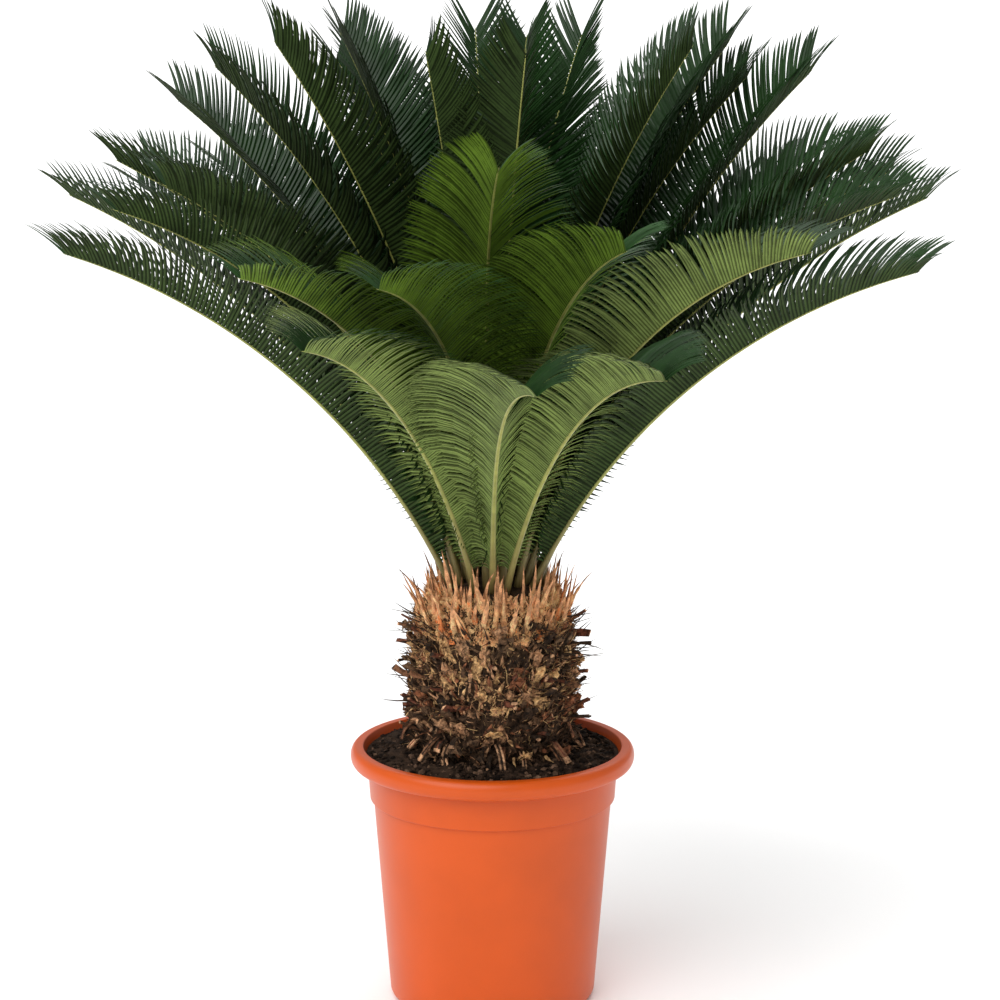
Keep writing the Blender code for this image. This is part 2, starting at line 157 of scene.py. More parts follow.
# what the finer leaflets add to the rule: the part of the frond that bears them, how far they curl
# over and sweep to its tip, in degrees, their twist, and their outline
LEAFLET_FIRST = 0.055
LEAFLET_LAST = 0.988
CURL_AT_FOOT = 150
CURL_AT_TIP = 16
CURL_OF_FRONT = 34
CURL_START = 0.28
CURL_BEND = 1.4
SWEEP = 10
TWIST_AT_END = 0.5
LEAFLET_OUTLINE = ((0, 0.08, 0.30, 0.60, 0.85, 1), (0.9, 1.0, 0.86, 0.75, 0.54, 0))
LEAFLET_DEPTH = 0.32
LEAFLET_FOLD = 0.18

# how much closer and wider the leaflets are on the fronds to the front and on the inner tiers
FRONT_CLOSER = 0.45
FRONT_WIDER = 0.04
INNER_TIERS = ("rising", "upright", "heart", "shoulder")
INNER_CLOSER = 0.15
INNER_WIDER = 0.18

# pieces of the crown and the tiers in each
CROWN = (
    ("leaflets_low", ("low",)),
    ("leaflets_spread", ("spread",)),
    ("leaflets_rising", ("rising",)),
    ("leaflets_upright", ("upright", "heart", "shoulder")),
)

# ribs: how long the flare at the foot lasts, how far the foot is sunk, and its brown and its reach
FLARE_PART = 0.08
RIB_SINK = 0.007
RIB_FOOT_COLOUR = (0.20, 0.15, 0.05, 1)
RIB_FOOT_REACH = (0.06, 0.22)

# world light, and heading, height, strength and spread of the two suns
WORLD_STRENGTH = 0.44
KEY_LIGHT = (236, 50, 2.6, 60)
BACK_LIGHT = (80, 60, 1.2, 60)
FLOOR_SIZE = 90

UP = np.array((0.0, 0.0, 1.0))


class PotSettings(bpy.types.PropertyGroup):
    """Sizes and colour of the pot and its soil."""
    height: FloatProperty(name="Height", description="From the flat underside to the top of the lip",
                          default=POT_BOX[1].z, min=0.1, unit="LENGTH")
    rim_radius: FloatProperty(name="Rim radius", description="Outer radius of the rolled rim",
                              default=POT_BOX[1].x, min=0.05, unit="LENGTH")
    lip_height: FloatProperty(name="Rim height", description="Height of the rolled rim",
                              default=0.022, min=0.005, unit="LENGTH")
    ledge_height: FloatProperty(name="Ledge height", description="Height of the step in the wall",
                                default=0.240, min=0.05, unit="LENGTH")
    ledge_radius: FloatProperty(name="Ledge radius", description="Outer radius of the wall under the step",
                                default=0.1385, min=0.05, unit="LENGTH")
    base_radius: FloatProperty(name="Base radius", description="Outer radius at the foot of the wall",
                               default=0.1203, min=0.05, unit="LENGTH")
    wall: FloatProperty(name="Wall", description="Thickness of the wall",
                        default=0.003, min=0.001, unit="LENGTH")
    clods: IntProperty(name="Clods", description="Number of loose clods on the soil", default=3800, min=0)
    colour: FloatVectorProperty(name="Plastic", description="Colour of the pot", subtype="COLOR",
                                default=(0.62, 0.083, 0.004), min=0.0, max=1.0)
    soil_colour: FloatVectorProperty(name="Soil", description="Colour of the damp peat", subtype="COLOR",
                                     default=(0.031, 0.0180, 0.0115), min=0.0, max=1.0)


class StemSettings(bpy.types.PropertyGroup):
    """Sizes, counts and colours of the stem and its collar of scale leaves."""
    radius: FloatProperty(name="Radius", description="Radius of the stem at its widest, between the stubs",
                          default=0.089, min=0.02, unit="LENGTH")
    leaf_bases: IntProperty(name="Leaf bases", description="Number of old leaf bases", default=270, min=0)
    stubs: IntProperty(name="Stubs", description="Number of broken leaf stalks", default=84, min=0)
    straps: IntProperty(name="Straps", description="Number of limp old stalks at the foot", default=34, min=0)
    shards: IntProperty(name="Shards", description="Number of woody shards between the leaf bases",
                        default=1700, min=0)
    fibres: IntProperty(name="Fibres", description="Number of loose fibres", default=4200, min=0)
    spines: IntProperty(name="Spines", description="Number of long dark spines", default=150, min=0)
    scales: IntProperty(name="Scale leaves", description="Number of woolly scale leaves", default=190, min=0)
    tufts: IntProperty(name="Tufts", description="Number of matted tufts of wool", default=3200, min=0)
    wool: IntProperty(name="Hairs", description="Number of hairs in the wool", default=5400, min=0)
    bark_colour: FloatVectorProperty(name="Bark", description="Colour of the weathered leaf bases",
                                     subtype="COLOR", default=(0.40, 0.215, 0.110), min=0.0, max=1.0)
    wool_colour: FloatVectorProperty(name="Wool", description="Colour of the woolly scale leaves",
                                     subtype="COLOR", default=(0.94, 0.44, 0.20), min=0.0, max=1.0)


class FrondSettings(bpy.types.PropertyGroup):
    """Sizes and colours of the fronds."""
    leaflets: IntProperty(name="Leaflets", description="Leaflets on each side of a frond", default=104, min=4)
    longest: FloatProperty(name="Longest leaflet", description="Length of the longest leaflets",
                           default=0.125, min=0.01, unit="LENGTH")
    width: FloatProperty(name="Leaflet width", description="Width of the widest leaflets",
                         default=0.0056, min=0.001, unit="LENGTH")
    rib_width: FloatProperty(name="Rib width", description="Width of a frond's rib above its foot",
                             default=0.0064, min=0.001, unit="LENGTH")
    rib_flare: FloatProperty(name="Rib flare", description="How much wider a rib is at its foot",
                             default=0.0040, min=0.0, unit="LENGTH")
    upper_colour: FloatVectorProperty(name="Upper side", description="Glossy upper side of the leaflets",
                                      subtype="COLOR", default=(0.0115, 0.038, 0.0078), min=0.0, max=1.0)
    under_colour: FloatVectorProperty(name="Underside", description="Dull underside of most leaflets",
                                      subtype="COLOR", default=(0.034, 0.060, 0.014), min=0.0, max=1.0)
    # Real colour and painted light: the greyer olive of the older lowest fronds, made much lighter on the
    # fronds that face the front to stand for their lit look.
    aged_and_lit_colour: FloatVectorProperty(name="Front fronds", description="Underside of the lowest front fronds",
                                      subtype="COLOR", default=(0.178, 0.242, 0.062), min=0.0, max=1.0)
    # Painted light: a much lighter underside for the front fronds of the spread and rising tiers, standing
    # for their lit look.
    painted_lit_colour: FloatVectorProperty(name="Painted-lit fronds", description="Underside of the young front fronds",
                                      subtype="COLOR", default=(0.125, 0.215, 0.020), min=0.0, max=1.0)
    rib_colour: FloatVectorProperty(name="Rib", description="Colour of the fronds' ribs", subtype="COLOR",
                                    default=(0.32, 0.33, 0.080), min=0.0, max=1.0)


class StageSettings(bpy.types.PropertyGroup):
    """The camera, the light and the floor."""
    distance: FloatProperty(name="Distance", description="From the camera to the plant's axis",
                            default=3.2, min=0.5, unit="LENGTH")
    camera_height: FloatProperty(name="Camera height", description="Height of the camera above the floor",
                                 default=1.207, min=0.0, unit="LENGTH")
    pitch: FloatProperty(name="Pitch", description="How far the camera looks down",
                         default=math.radians(10.9), subtype="ANGLE")
    lens: FloatProperty(name="Focal length", description="Focal length in millimetres on a 36 mm sensor",
                        default=102.456, min=10.0)
    shift: FloatProperty(name="Shift", description="Sideways shift of the frame, as a part of its width",
                         default=0.0075)
    floor_colour: FloatVectorProperty(name="Floor", description="Colour of the plain floor", subtype="COLOR",
                                      default=(0.98, 0.98, 0.98), min=0.0, max=1.0)


# Helpers for meshes

def new_object(name, data):
    """Links an object with a mesh, a light or a camera to the scene."""
    obj = bpy.data.objects.new(name, data)
    bpy.context.scene.collection.objects.link(obj)
    return obj


def object_from(name, bm, materials, smooth_angle=None):
    """Turns a finished bmesh into an object at the origin."""
    mesh = bpy.data.meshes.new(name)
    bm.to_mesh(mesh)
    bm.free()
    for mat in materials:
        mesh.materials.append(mat)
    if smooth_angle is not None:
        mesh.shade_smooth()
        mesh.set_sharp_from_angle(angle=math.radians(smooth_angle))
    return new_object(name, mesh)


def joined(name, coords, faces, slots, materials, smooth=False):
    """One object of many copies of a small mesh: coords of each copy, faces of one, slots of all."""
    copies, count, _ = coords.shape
    corners = np.array([v for face in faces for v in face])
    sizes = np.array([len(face) for face in faces])
    starts = np.concatenate(([0], np.cumsum(sizes)[:-1]))
    loops = corners[None, :] + (np.arange(copies) * count)[:, None]
    firsts = starts[None, :] + (np.arange(copies) * len(corners))[:, None]
    mesh = bpy.data.meshes.new(name)
    mesh.vertices.add(copies * count)
    mesh.vertices.foreach_set("co", coords.astype(np.float32).ravel())
    mesh.loops.add(loops.size)
    mesh.loops.foreach_set("vertex_index", loops.astype(np.int32).ravel())
    mesh.polygons.add(firsts.size)
    mesh.polygons.foreach_set("loop_start", firsts.astype(np.int32).ravel())
    for mat in materials:
        mesh.materials.append(mat)
    slots = np.broadcast_to(slots, firsts.shape).astype(np.int32)
    mesh.polygons.foreach_set("material_index", slots.ravel())
    mesh.polygons.foreach_set("use_smooth", np.full(firsts.size, smooth))
    mesh.update(calc_edges=True)
    return new_object(name, mesh)


def spun(profile, segments):
    """Spins an outline of (radius, height) points, with its ends on the axis, into a closed mesh."""
    bm = bmesh.new()
    verts = [bm.verts.new((r, 0.0, z)) for r, z in profile]
    edges = [bm.edges.new(pair) for pair in zip(verts, verts[1:])]
    bmesh.ops.spin(bm, geom=verts + edges, cent=(0, 0, 0), axis=(0, 0, 1), angle=math.tau,
                   steps=segments, use_merge=True, use_duplicate=False)
    bmesh.ops.remove_doubles(bm, verts=bm.verts, dist=1e-6)
    bmesh.ops.recalc_face_normals(bm, faces=bm.faces)
    return bm


def arc(centre_r, centre_z, radius_r, radius_z, start, end, steps):
    """Points on an ellipse's arc, by angle in degrees from the outward direction."""
    points = []
    for k in range(steps + 1):
        a = math.radians(start + (end - start) * k / steps)
        points.append((centre_r + radius_r * math.cos(a), centre_z + radius_z * math.sin(a)))
    return points


def relief(point, scale, octaves, seed):
    """Fractal noise at a point, about -1 to 1."""
    return noise.fractal(Vector(point) * scale + Vector((seed, 0, 0)), 0.9, 2.0, octaves)


def unit(v):
    """Vectors of an array, each brought to unit length."""
    return v / np.linalg.norm(v, axis=-1, keepdims=True)


class Strand:
    """A closed strand of unit length, pointed or blunt, which arrays bend, size and copy."""

    def __init__(self, sides, rings, pointed=True):
        bm = bmesh.new()
        bmesh.ops.create_cone(bm, cap_ends=True, segments=sides, radius1=1.0,
                              radius2=0.0 if pointed else 1.0, depth=1.0)
        bmesh.ops.translate(bm, verts=bm.verts, vec=(0, 0, 0.5))
        for k in range(1, rings):
            geom = bm.verts[:] + bm.edges[:] + bm.faces[:]
            bmesh.ops.bisect_plane(bm, geom=geom, plane_co=(0, 0, k / rings), plane_no=(0, 0, 1))
        bmesh.ops.remove_doubles(bm, verts=bm.verts, dist=1e-6)
        bm.verts.index_update()
        co = np.array([v.co for v in bm.verts])
        size = np.maximum(1.0 - co[:, 2], 1e-6) if pointed else np.ones(len(co))
        tip = pointed & (co[:, 2] > 1 - 1e-4)
        self.x = np.where(tip, 0.0, co[:, 0] / size)
        self.y = np.where(tip, 0.0, co[:, 1] / size)
        self.ring = np.rint(co[:, 2] * rings).astype(int)
        self.rings = rings
        self.parts = np.arange(rings + 1) / rings
        self.faces = [[v.index for v in f.verts] for f in bm.faces]
        centres = [f.calc_center_median() for f in bm.faces]
        self.face_part = np.array([c.z for c in centres])
        self.face_up = np.array([c.y > 1e-4 for c in centres])
        self.face_left = np.array([c.x < 0 for c in centres])
        self.face_end = np.array([abs(f.normal.z) > 0.95 for f in bm.faces]) if not pointed else None
        bm.free()

    def place(self, centre, across, normal, half_width, half_depth, drop=None):
        """Coordinates of every copy from its rings' centres, directions and half sizes."""
        r = self.ring
        sideways = across[:, r] * (self.x * half_width[:, r])[..., None]
        depth = self.y * half_depth[:, r]
        if drop is not None:
            depth = depth - np.abs(self.x) * drop[:, r]
        return centre[:, r] + sideways + normal[:, r] * depth[..., None]

    def bent(self, start, first, last, length, hint, half_width, half_depth, bow=1.0):
        """Coordinates of copies that turn from their first to their last direction."""
        turn = (self.parts ** bow)[None, :, None]
        directions = unit(first[:, None] * (1 - turn) + last[:, None] * turn)
        centre = followed(start, directions, length / self.rings)
        across, normal = framed(directions, hint)
        return self.place(centre, across, normal, half_width, half_depth)


def followed(start, directions, step):
    """Centres of the rings of strands that set out from start and follow their directions."""
    steps = (directions[:, 1:] + directions[:, :-1]) / 2 * step[:, None, None]
    travelled = np.cumsum(steps, axis=1)
    return start[:, None] + np.concatenate((np.zeros_like(start)[:, None], travelled), axis=1)


def framed(directions, hint):
    """Across and normal of each ring: across follows the hint, square to the direction."""
    along_hint = np.sum(hint[:, None] * directions, axis=-1, keepdims=True)
    across = unit(hint[:, None] - directions * along_hint)
    return across, np.cross(directions, across)


def along_strand(rng, low, high, count, profile):
    """Half sizes of copies at their rings: a size drawn for each, times a profile."""
    return rng.uniform(low, high, count)[:, None] * np.array(profile)


def lumps(rng, places, sizes, flatness=1.0):
    """Coordinates and faces of rough lumps, each turned, sized and dented its own way."""
    bm = bmesh.new()
    bmesh.ops.create_icosphere(bm, subdivisions=1, radius=1.0)
    co = np.array([v.co for v in bm.verts])
    faces = [[v.index for v in f.verts] for f in bm.faces]
    bm.free()
    count = len(places)
    axes = unit(rng.normal(size=(count, 3, 3)))
    first = axes[:, 0]
    second = unit(np.cross(first, axes[:, 1]))
    third = np.cross(first, second)
    stretch = rng.uniform(0.6, 1.3, (count, 3)) * sizes[:, None]
    dents = rng.uniform(0.7, 1.2, (count, len(co), 1))
    local = co[None] * dents * stretch[:, None]
    turned = local[..., :1] * first[:, None] + local[..., 1:2] * second[:, None]
    turned += local[..., 2:] * third[:, None]
    turned[..., 2] *= flatness
    return places[:, None] + turned, faces


# Node groups and materials

def group_with(name, inputs, outputs):
    """A new shader node group with its sockets, and its two end nodes."""
    group = bpy.data.node_groups.new(name, "ShaderNodeTree")
    for label, kind, default in inputs:
        socket = group.interface.new_socket(label, in_out="INPUT", socket_type=kind)
        socket.default_value = default
    for label, kind in outputs:
        group.interface.new_socket(label, in_out="OUTPUT", socket_type=kind)
    return group, group.nodes.new("NodeGroupInput"), group.nodes.new("NodeGroupOutput")


def noise_node(nodes, links, vector, scale, detail):
    """A noise texture whose scale comes from a socket."""
    node = nodes.new("ShaderNodeTexNoise")
    node.inputs["Detail"].default_value = detail
    node.inputs["Roughness"].default_value = 0.6
    links.new(vector, node.inputs["Vector"])
    links.new(scale, node.inputs["Scale"])
    return node


def mottle_group():
    """Patches of two colours, a finer speckle over them, and a height for the bump."""
    inputs = (
        ("Dark", "NodeSocketColor", (0.02, 0.02, 0.02, 1)),
        ("Light", "NodeSocketColor", (0.2, 0.2, 0.2, 1)),
        ("Patch Scale", "NodeSocketFloat", 40.0),
        ("Speckle Scale", "NodeSocketFloat", 400.0),
        ("Speckle", "NodeSocketFloat", 0.3),
        ("Smoothest", "NodeSocketFloat", 0.4),
        ("Roughest", "NodeSocketFloat", 0.7),
    )
    outputs = (("Color", "NodeSocketColor"), ("Roughness", "NodeSocketFloat"), ("Height", "NodeSocketFloat"))
    group, start, end = group_with("mottle", inputs, outputs)
    nodes, links = group.nodes, group.links
    where = nodes.new("ShaderNodeTexCoord").outputs["Object"]
    patch = noise_node(nodes, links, where, start.outputs["Patch Scale"], 3.0)
    speckle = noise_node(nodes, links, where, start.outputs["Speckle Scale"], 4.0)
    spread = nodes.new("ShaderNodeMapRange")
    spread.inputs["From Min"].default_value = 0.36
    spread.inputs["From Max"].default_value = 0.64
    links.new(patch.outputs["Fac"], spread.inputs["Value"])
    patches = nodes.new("ShaderNodeMix")
    patches.data_type = "RGBA"
    links.new(spread.outputs["Result"], patches.inputs["Factor"])
    links.new(start.outputs["Dark"], patches.inputs[6])
    links.new(start.outputs["Light"], patches.inputs[7])
    level = nodes.new("ShaderNodeMapRange")
    level.inputs["From Min"].default_value = 0.3
    level.inputs["From Max"].default_value = 0.7
    level.inputs["To Min"].default_value = 0.55
    level.inputs["To Max"].default_value = 1.45
    links.new(speckle.outputs["Fac"], level.inputs["Value"])
    speckled = nodes.new("ShaderNodeMix")
    speckled.data_type = "RGBA"
    speckled.blend_type = "MULTIPLY"
    links.new(start.outputs["Speckle"], speckled.inputs["Factor"])
    links.new(patches.outputs[2], speckled.inputs[6])
    links.new(level.outputs["Result"], speckled.inputs[7])
    links.new(speckled.outputs[2], end.inputs["Color"])
    rough = nodes.new("ShaderNodeMapRange")
    links.new(speckle.outputs["Fac"], rough.inputs["Value"])
    links.new(start.outputs["Smoothest"], rough.inputs["To Min"])
    links.new(start.outputs["Roughest"], rough.inputs["To Max"])
    links.new(rough.outputs["Result"], end.inputs["Roughness"])
    links.new(speckle.outputs["Fac"], end.inputs["Height"])
    return group


def mottled(name, dark, light, patch, speckle, amount, rough, bump, strength, specular=0.5):
    """A material of two mottled colours with its own grain, or the one that has this name already."""
    if name in bpy.data.materials:
        return bpy.data.materials[name]
    mat = bpy.data.materials.new(name)
    mat.use_nodes = True
    nodes, links = mat.node_tree.nodes, mat.node_tree.links
    shader = nodes["Principled BSDF"]
    shader.inputs["Specular IOR Level"].default_value = specular
    surface = nodes.new("ShaderNodeGroup")
    surface.node_tree = bpy.data.node_groups.get("mottle") or mottle_group()
    values = {"Dark": (*dark, 1), "Light": (*light, 1), "Patch Scale": patch, "Speckle Scale": speckle,
              "Speckle": amount, "Smoothest": rough[0], "Roughest": rough[1]}
    for label, value in values.items():
        surface.inputs[label].default_value = value
    links.new(surface.outputs["Color"], shader.inputs["Base Color"])
    links.new(surface.outputs["Roughness"], shader.inputs["Roughness"])
    grain = nodes.new("ShaderNodeBump")
    grain.inputs["Strength"].default_value = strength
    grain.inputs["Distance"].default_value = bump
    links.new(surface.outputs["Height"], grain.inputs["Height"])
    links.new(grain.outputs["Normal"], shader.inputs["Normal"])
    return mat


def shade(colour, factor):
    """A colour made lighter or darker by a factor."""
    return tuple(min(1.0, c * factor) for c in colour)


def plastic(settings):
    """Moulded plastic: nearly even, a little clouded, with a fine satin grain."""
    return mottled("orange plastic", shade(settings.colour, 0.95), shade(settings.colour, 1.04), patch=9.0,
                   speckle=900.0, amount=0.06, rough=(0.30, 0.44), bump=0.0001, strength=0.25, specular=0.36)


def peat(settings, lift=1.0):
    """Damp crumbly soil, darker or lighter by a factor."""
    colour = shade(settings.soil_colour, lift)
    return mottled(f"peat {lift:g}", shade(colour, 0.45), shade(colour, 1.7), patch=70.0, speckle=700.0,
                   amount=0.6, rough=(0.85, 1.0), bump=0.0012, strength=0.8, specular=0.1)


def bark(settings, name, factor, tint=(1, 1, 1)):
    """Weathered leaf bases, fibre and debris in one of several tones."""
    colour = tuple(c * t for c, t in zip(shade(settings.bark_colour, factor), tint))
    return mottled(name, shade(colour, 0.22), shade(colour, 1.6), patch=150.0, speckle=800.0, amount=0.8,
                   rough=(0.7, 1.0), bump=0.0015, strength=0.9, specular=0.25)


def wool(settings, name, factor, tint=(1, 1, 1)):
    """Scale leaves and the wool on them in one of several tones."""
    colour = tuple(c * t for c, t in zip(shade(settings.wool_colour, factor), tint))
    return mottled(name, shade(colour, 0.6), shade(colour, 1.3), patch=120.0, speckle=900.0, amount=0.6,
                   rough=(0.8, 1.0), bump=0.0012, strength=0.8, specular=0.2)


def leaf_material(name, colour, rough, specular):
    """Leaflet surface: leathery, with slow changes of tone along the frond."""
    return mottled(name, shade(colour, 0.78), shade(colour, 1.25), patch=22.0, speckle=260.0, amount=0.25,
                   rough=rough, bump=0.0003, strength=0.2, specular=specular)


def rib_material(settings):
    """Yellow-green rib that turns brown towards its foot in the stem."""
    mat = mottled("frond rib", shade(settings.rib_colour, 0.8), shade(settings.rib_colour, 1.15), patch=60.0,
                  speckle=500.0, amount=0.2, rough=(0.35, 0.5), bump=0.0003, strength=0.3)
    nodes, links = mat.node_tree.nodes, mat.node_tree.links
    shader = nodes["Principled BSDF"]
    where = nodes.new("ShaderNodeTexCoord")
    reach = nodes.new("ShaderNodeVectorMath")
    reach.operation = "DISTANCE"
    reach.inputs[1].default_value = (0.0, 0.0, DOME_BASE)
    links.new(where.outputs["Object"], reach.inputs[0])
    fade = nodes.new("ShaderNodeMapRange")
    fade.inputs["From Min"].default_value = RIB_FOOT_REACH[0]
    fade.inputs["From Max"].default_value = RIB_FOOT_REACH[1]
    links.new(reach.outputs["Value"], fade.inputs["Value"])
    mixed = nodes.new("ShaderNodeMix")
    mixed.data_type = "RGBA"
    mixed.inputs[6].default_value = RIB_FOOT_COLOUR
    links.new(fade.outputs["Result"], mixed.inputs["Factor"])
    links.new(shader.inputs["Base Color"].links[0].from_socket, mixed.inputs[7])
    links.new(mixed.outputs[2], shader.inputs["Base Color"])
    return mat


# Pot and soil

def inner_radius(pot, z):
    """Radius of the pot's inner wall at a height."""
    stations = (
        (FLOOR, pot.base_radius - pot.wall),
        (pot.ledge_height, pot.ledge_radius - pot.wall),
        (pot.height - pot.lip_height, BAND_TOP_RADIUS - pot.wall),
        (pot.height, LIP_INNER_RADIUS),
    )
    for (z0, r0), (z1, r1) in zip(stations, stations[1:]):
        if z <= z1:
            return r0 + (r1 - r0) * (z - z0) / (z1 - z0)
    return LIP_INNER_RADIUS


def pot_outline(pot):
    """Half section of the pot, from the middle of its underside round the rim to its floor."""
    lip_bottom = pot.height - pot.lip_height
    crest = (pot.rim_radius + LIP_INNER_RADIUS) / 2
    outline = [(0.0, 0.0)]
    outline += arc(pot.base_radius - BASE_CORNER, BASE_CORNER, BASE_CORNER, BASE_CORNER, -90, 0, 8)
    outline += arc(pot.ledge_radius + LEDGE_FILLET[0], pot.ledge_height - LEDGE_FILLET[1],
                   *LEDGE_FILLET, 180, 90, 2)
    outline += arc(pot.ledge_radius + BAND_STEP - BAND_CORNER, pot.ledge_height + BAND_CORNER,
                   BAND_CORNER, BAND_CORNER, -90, 0, 4)
    outline += [(BAND_TOP_RADIUS, lip_bottom + 0.002)]
    outline += arc(crest, pot.height - pot.lip_height / 2,
                   pot.rim_radius - crest, pot.lip_height / 2, -90, 90, 22)
    outline += arc(LIP_INNER_RADIUS + LIP_CORNER, pot.height - LIP_CORNER, LIP_CORNER, LIP_CORNER, 90, 180, 3)
    outline += [(inner_radius(pot, z), z) for z in (lip_bottom, pot.ledge_height, 2 * FLOOR)]
    outline += [(inner_radius(pot, FLOOR) - FLOOR, FLOOR), (0.0, FLOOR)]
    return outline


def drill_drain_holes(obj):
    """Cuts the drain holes through the pot's floor and removes the cutter."""
    bm = bmesh.new()
    for k in range(DRAIN_HOLES):
        a = math.tau * k / DRAIN_HOLES
        made = bmesh.ops.create_cone(bm, cap_ends=True, segments=32, radius1=DRAIN_RADIUS,
                                     radius2=DRAIN_RADIUS, depth=4 * FLOOR)
        bmesh.ops.translate(bm, verts=made["verts"],
                            vec=(DRAIN_RING * math.cos(a), DRAIN_RING * math.sin(a), 0.0))
    cutter = object_from("drain_cutter", bm, [])
    cut = obj.modifiers.new("drain holes", "BOOLEAN")
    cut.operation = "DIFFERENCE"
    cut.solver = "EXACT"
    cut.object = cutter
    depsgraph = bpy.context.evaluated_depsgraph_get()
    finished = bpy.data.meshes.new_from_object(obj.evaluated_get(depsgraph))
    obj.modifiers.clear()
    obj.data = finished
    bpy.data.objects.remove(cutter)


class PALM_OT_pot(bpy.types.Operator):
    """Builds the rolled-rim pot with its ledge, rounded foot and drain holes"""
    bl_idname = "palm.pot"
    bl_label = "Pot"

    def execute(self, context):
        pot = context.scene.palm_pot
        obj = object_from("pot_shell", spun(pot_outline(pot), 160), [plastic(pot)], 35)
        drill_drain_holes(obj)
        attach(obj, "root")
        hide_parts("pot")
        return {"FINISHED"}


def soil_height(pot, r):
    """Height of the soil at a radius, before its crumbs: lowest at the wall, heaped at the stem."""
    edge = pot.height - SOIL_DROP
    top = SOIL_BOX[1].z - 0.002
    part = min(1.0, max(0.0, (r - HEAP_RADIUS) / (inner_radius(pot, edge) - HEAP_RADIUS)))
    return top + (edge - top) * part ** 1.3


def soil_bed(pot):
    """The body of the soil, whose upper face is heaved into crumbs."""
    wall = inner_radius(pot, pot.height - SOIL_DROP) - 0.0003
    rings = 60
    radii = [wall * (1 - k / rings) for k in range(rings + 1)]
    heights = (2 * FLOOR, pot.ledge_height, pot.height - pot.lip_height)
    profile = [(0.0, FLOOR + 0.0003), (inner_radius(pot, FLOOR) - FLOOR - 0.0003, FLOOR + 0.0003)]
    profile += [(inner_radius(pot, z) - 0.0005, z) for z in heights]
    profile += [(r, soil_height(pot, r)) for r in radii]
    bm = spun(profile, 200)
    for v in bm.verts:
        r = math.hypot(v.co.x, v.co.y)
        if v.co.z > pot.height - 0.020 and r < wall - 0.0005:
            edge = min(1.0, (wall - r) / 0.01)
            v.co.z += (0.0035 * relief(v.co, 28, 3, 3) + 0.0016 * relief(v.co, 160, 3, 9)) * edge
    return bm


def soil_clods(pot, rng):
    """Loose clods between the stem and the wall, most of them small."""
    nearest, furthest = CLOD_RING
    r = np.sqrt(rng.uniform(nearest ** 2, furthest ** 2, pot.clods))
    a = rng.uniform(0, math.tau, pot.clods)
    sizes = 0.0012 + 0.0034 * rng.random(pot.clods) ** 2.5
    r = np.minimum(r, CLOD_LIMIT - sizes)
    z = np.array([soil_height(pot, x) for x in r]) + sizes * 0.2
    places = np.stack((r * np.cos(a), r * np.sin(a), z), axis=1)
    return lumps(rng, places, sizes, 0.8)


class PALM_OT_soil(bpy.types.Operator):
    """Builds the damp peat with its crumbs and clods"""
    bl_idname = "palm.soil"
    bl_label = "Soil"

    def execute(self, context):
        pot = context.scene.palm_pot
        bed = object_from("soil_bed", soil_bed(pot), [peat(pot)], 60)
        rng = np.random.default_rng(SEED + 10)
        coords, faces = soil_clods(pot, rng)
        tones = [peat(pot), peat(pot, 0.35), peat(pot, 3.6)]
        slots = rng.choice(3, (pot.clods, 1), p=CLOD_CHANCES)
        clods = joined("soil_clods", coords, faces, slots, tones)
        for piece in (bed, clods):
            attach(piece, "root")
        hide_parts("soil")
        return {"FINISHED"}


# Stem

def dome_height(r):
    """Height of the crown's dome at a radius."""
    return DOME_BASE + DOME_RISE * (1 - (r / DOME_RADIUS) ** 2)


def half_wave(swell, part):
    """Part of a sine wave, from its start over its span, made fuller or leaner."""
    start, span, fullness = swell
    return np.sin(math.pi * (start + span * part)) ** fullness


def stem_radius(stem, z):
    """Radius of the stem between its stubs at a height."""
    part = np.clip((z - STEM_FOOT) / (STEM_LEDGE - STEM_FOOT), 0, 1)
    return STEM_FOOT_RADIUS + (stem.radius - STEM_FOOT_RADIUS) * half_wave(STEM_SWELL, part)


def stem_outline(stem):
    """Half section of the stem's core, from its flat cut in the soil over the neck to the dome."""
    foot = STEM_FOOT - 0.004
    top = STEM_LEDGE - SHOULDER_DROP
    outline = [(0.0, foot)]
    outline += [(float(stem_radius(stem, z)) - 0.002, z) for z in np.linspace(foot, top, 54)]
    reach = outline[-1][0] - NECK_RADIUS
    outline += arc(NECK_RADIUS, top, reach, dome_height(NECK_RADIUS) - top, 0, 90, 12)[1:]
    outline += [(r, dome_height(r)) for r in np.linspace(NECK_RADIUS, 0.0, 14)[1:]]
    return outline


def stem_core(stem):
    """The stem's core, heaved all over into long rough swellings."""
    bm = spun(stem_outline(stem), 180)
    for v in bm.verts:
        r = math.hypot(v.co.x, v.co.y)
        if r < 0.02 or v.co.z < STEM_FOOT:
            continue
        stretched = (v.co.x, v.co.y, v.co.z * 0.55)
        swell = 0.0045 * relief(stretched, 45, 3, 5) + 0.0022 * relief(stretched, 170, 3, 15)
        v.co.x *= 1 + swell / r
        v.co.y *= 1 + swell / r
    return bm


def around(angles):
    """Outward and sideways directions at angles round the stem."""
    out = np.stack((np.cos(angles), np.sin(angles), np.zeros_like(angles)), axis=1)
    side = np.stack((-np.sin(angles), np.cos(angles), np.zeros_like(angles)), axis=1)
    return out, side


def tilted(out, side, rise, turn=0.0):
    """Directions raised from the outward one by an angle and turned sideways by another."""
    rise, turn = np.asarray(rise)[:, None], np.broadcast_to(turn, np.shape(rise))[:, None]
    return unit((out * np.cos(turn) + side * np.sin(turn)) * np.cos(rise) + UP * np.sin(rise))


def placed(out, radius, z):
    """Points at radii and heights in the outward directions."""
    return out * radius[:, None] + UP * z[:, None]


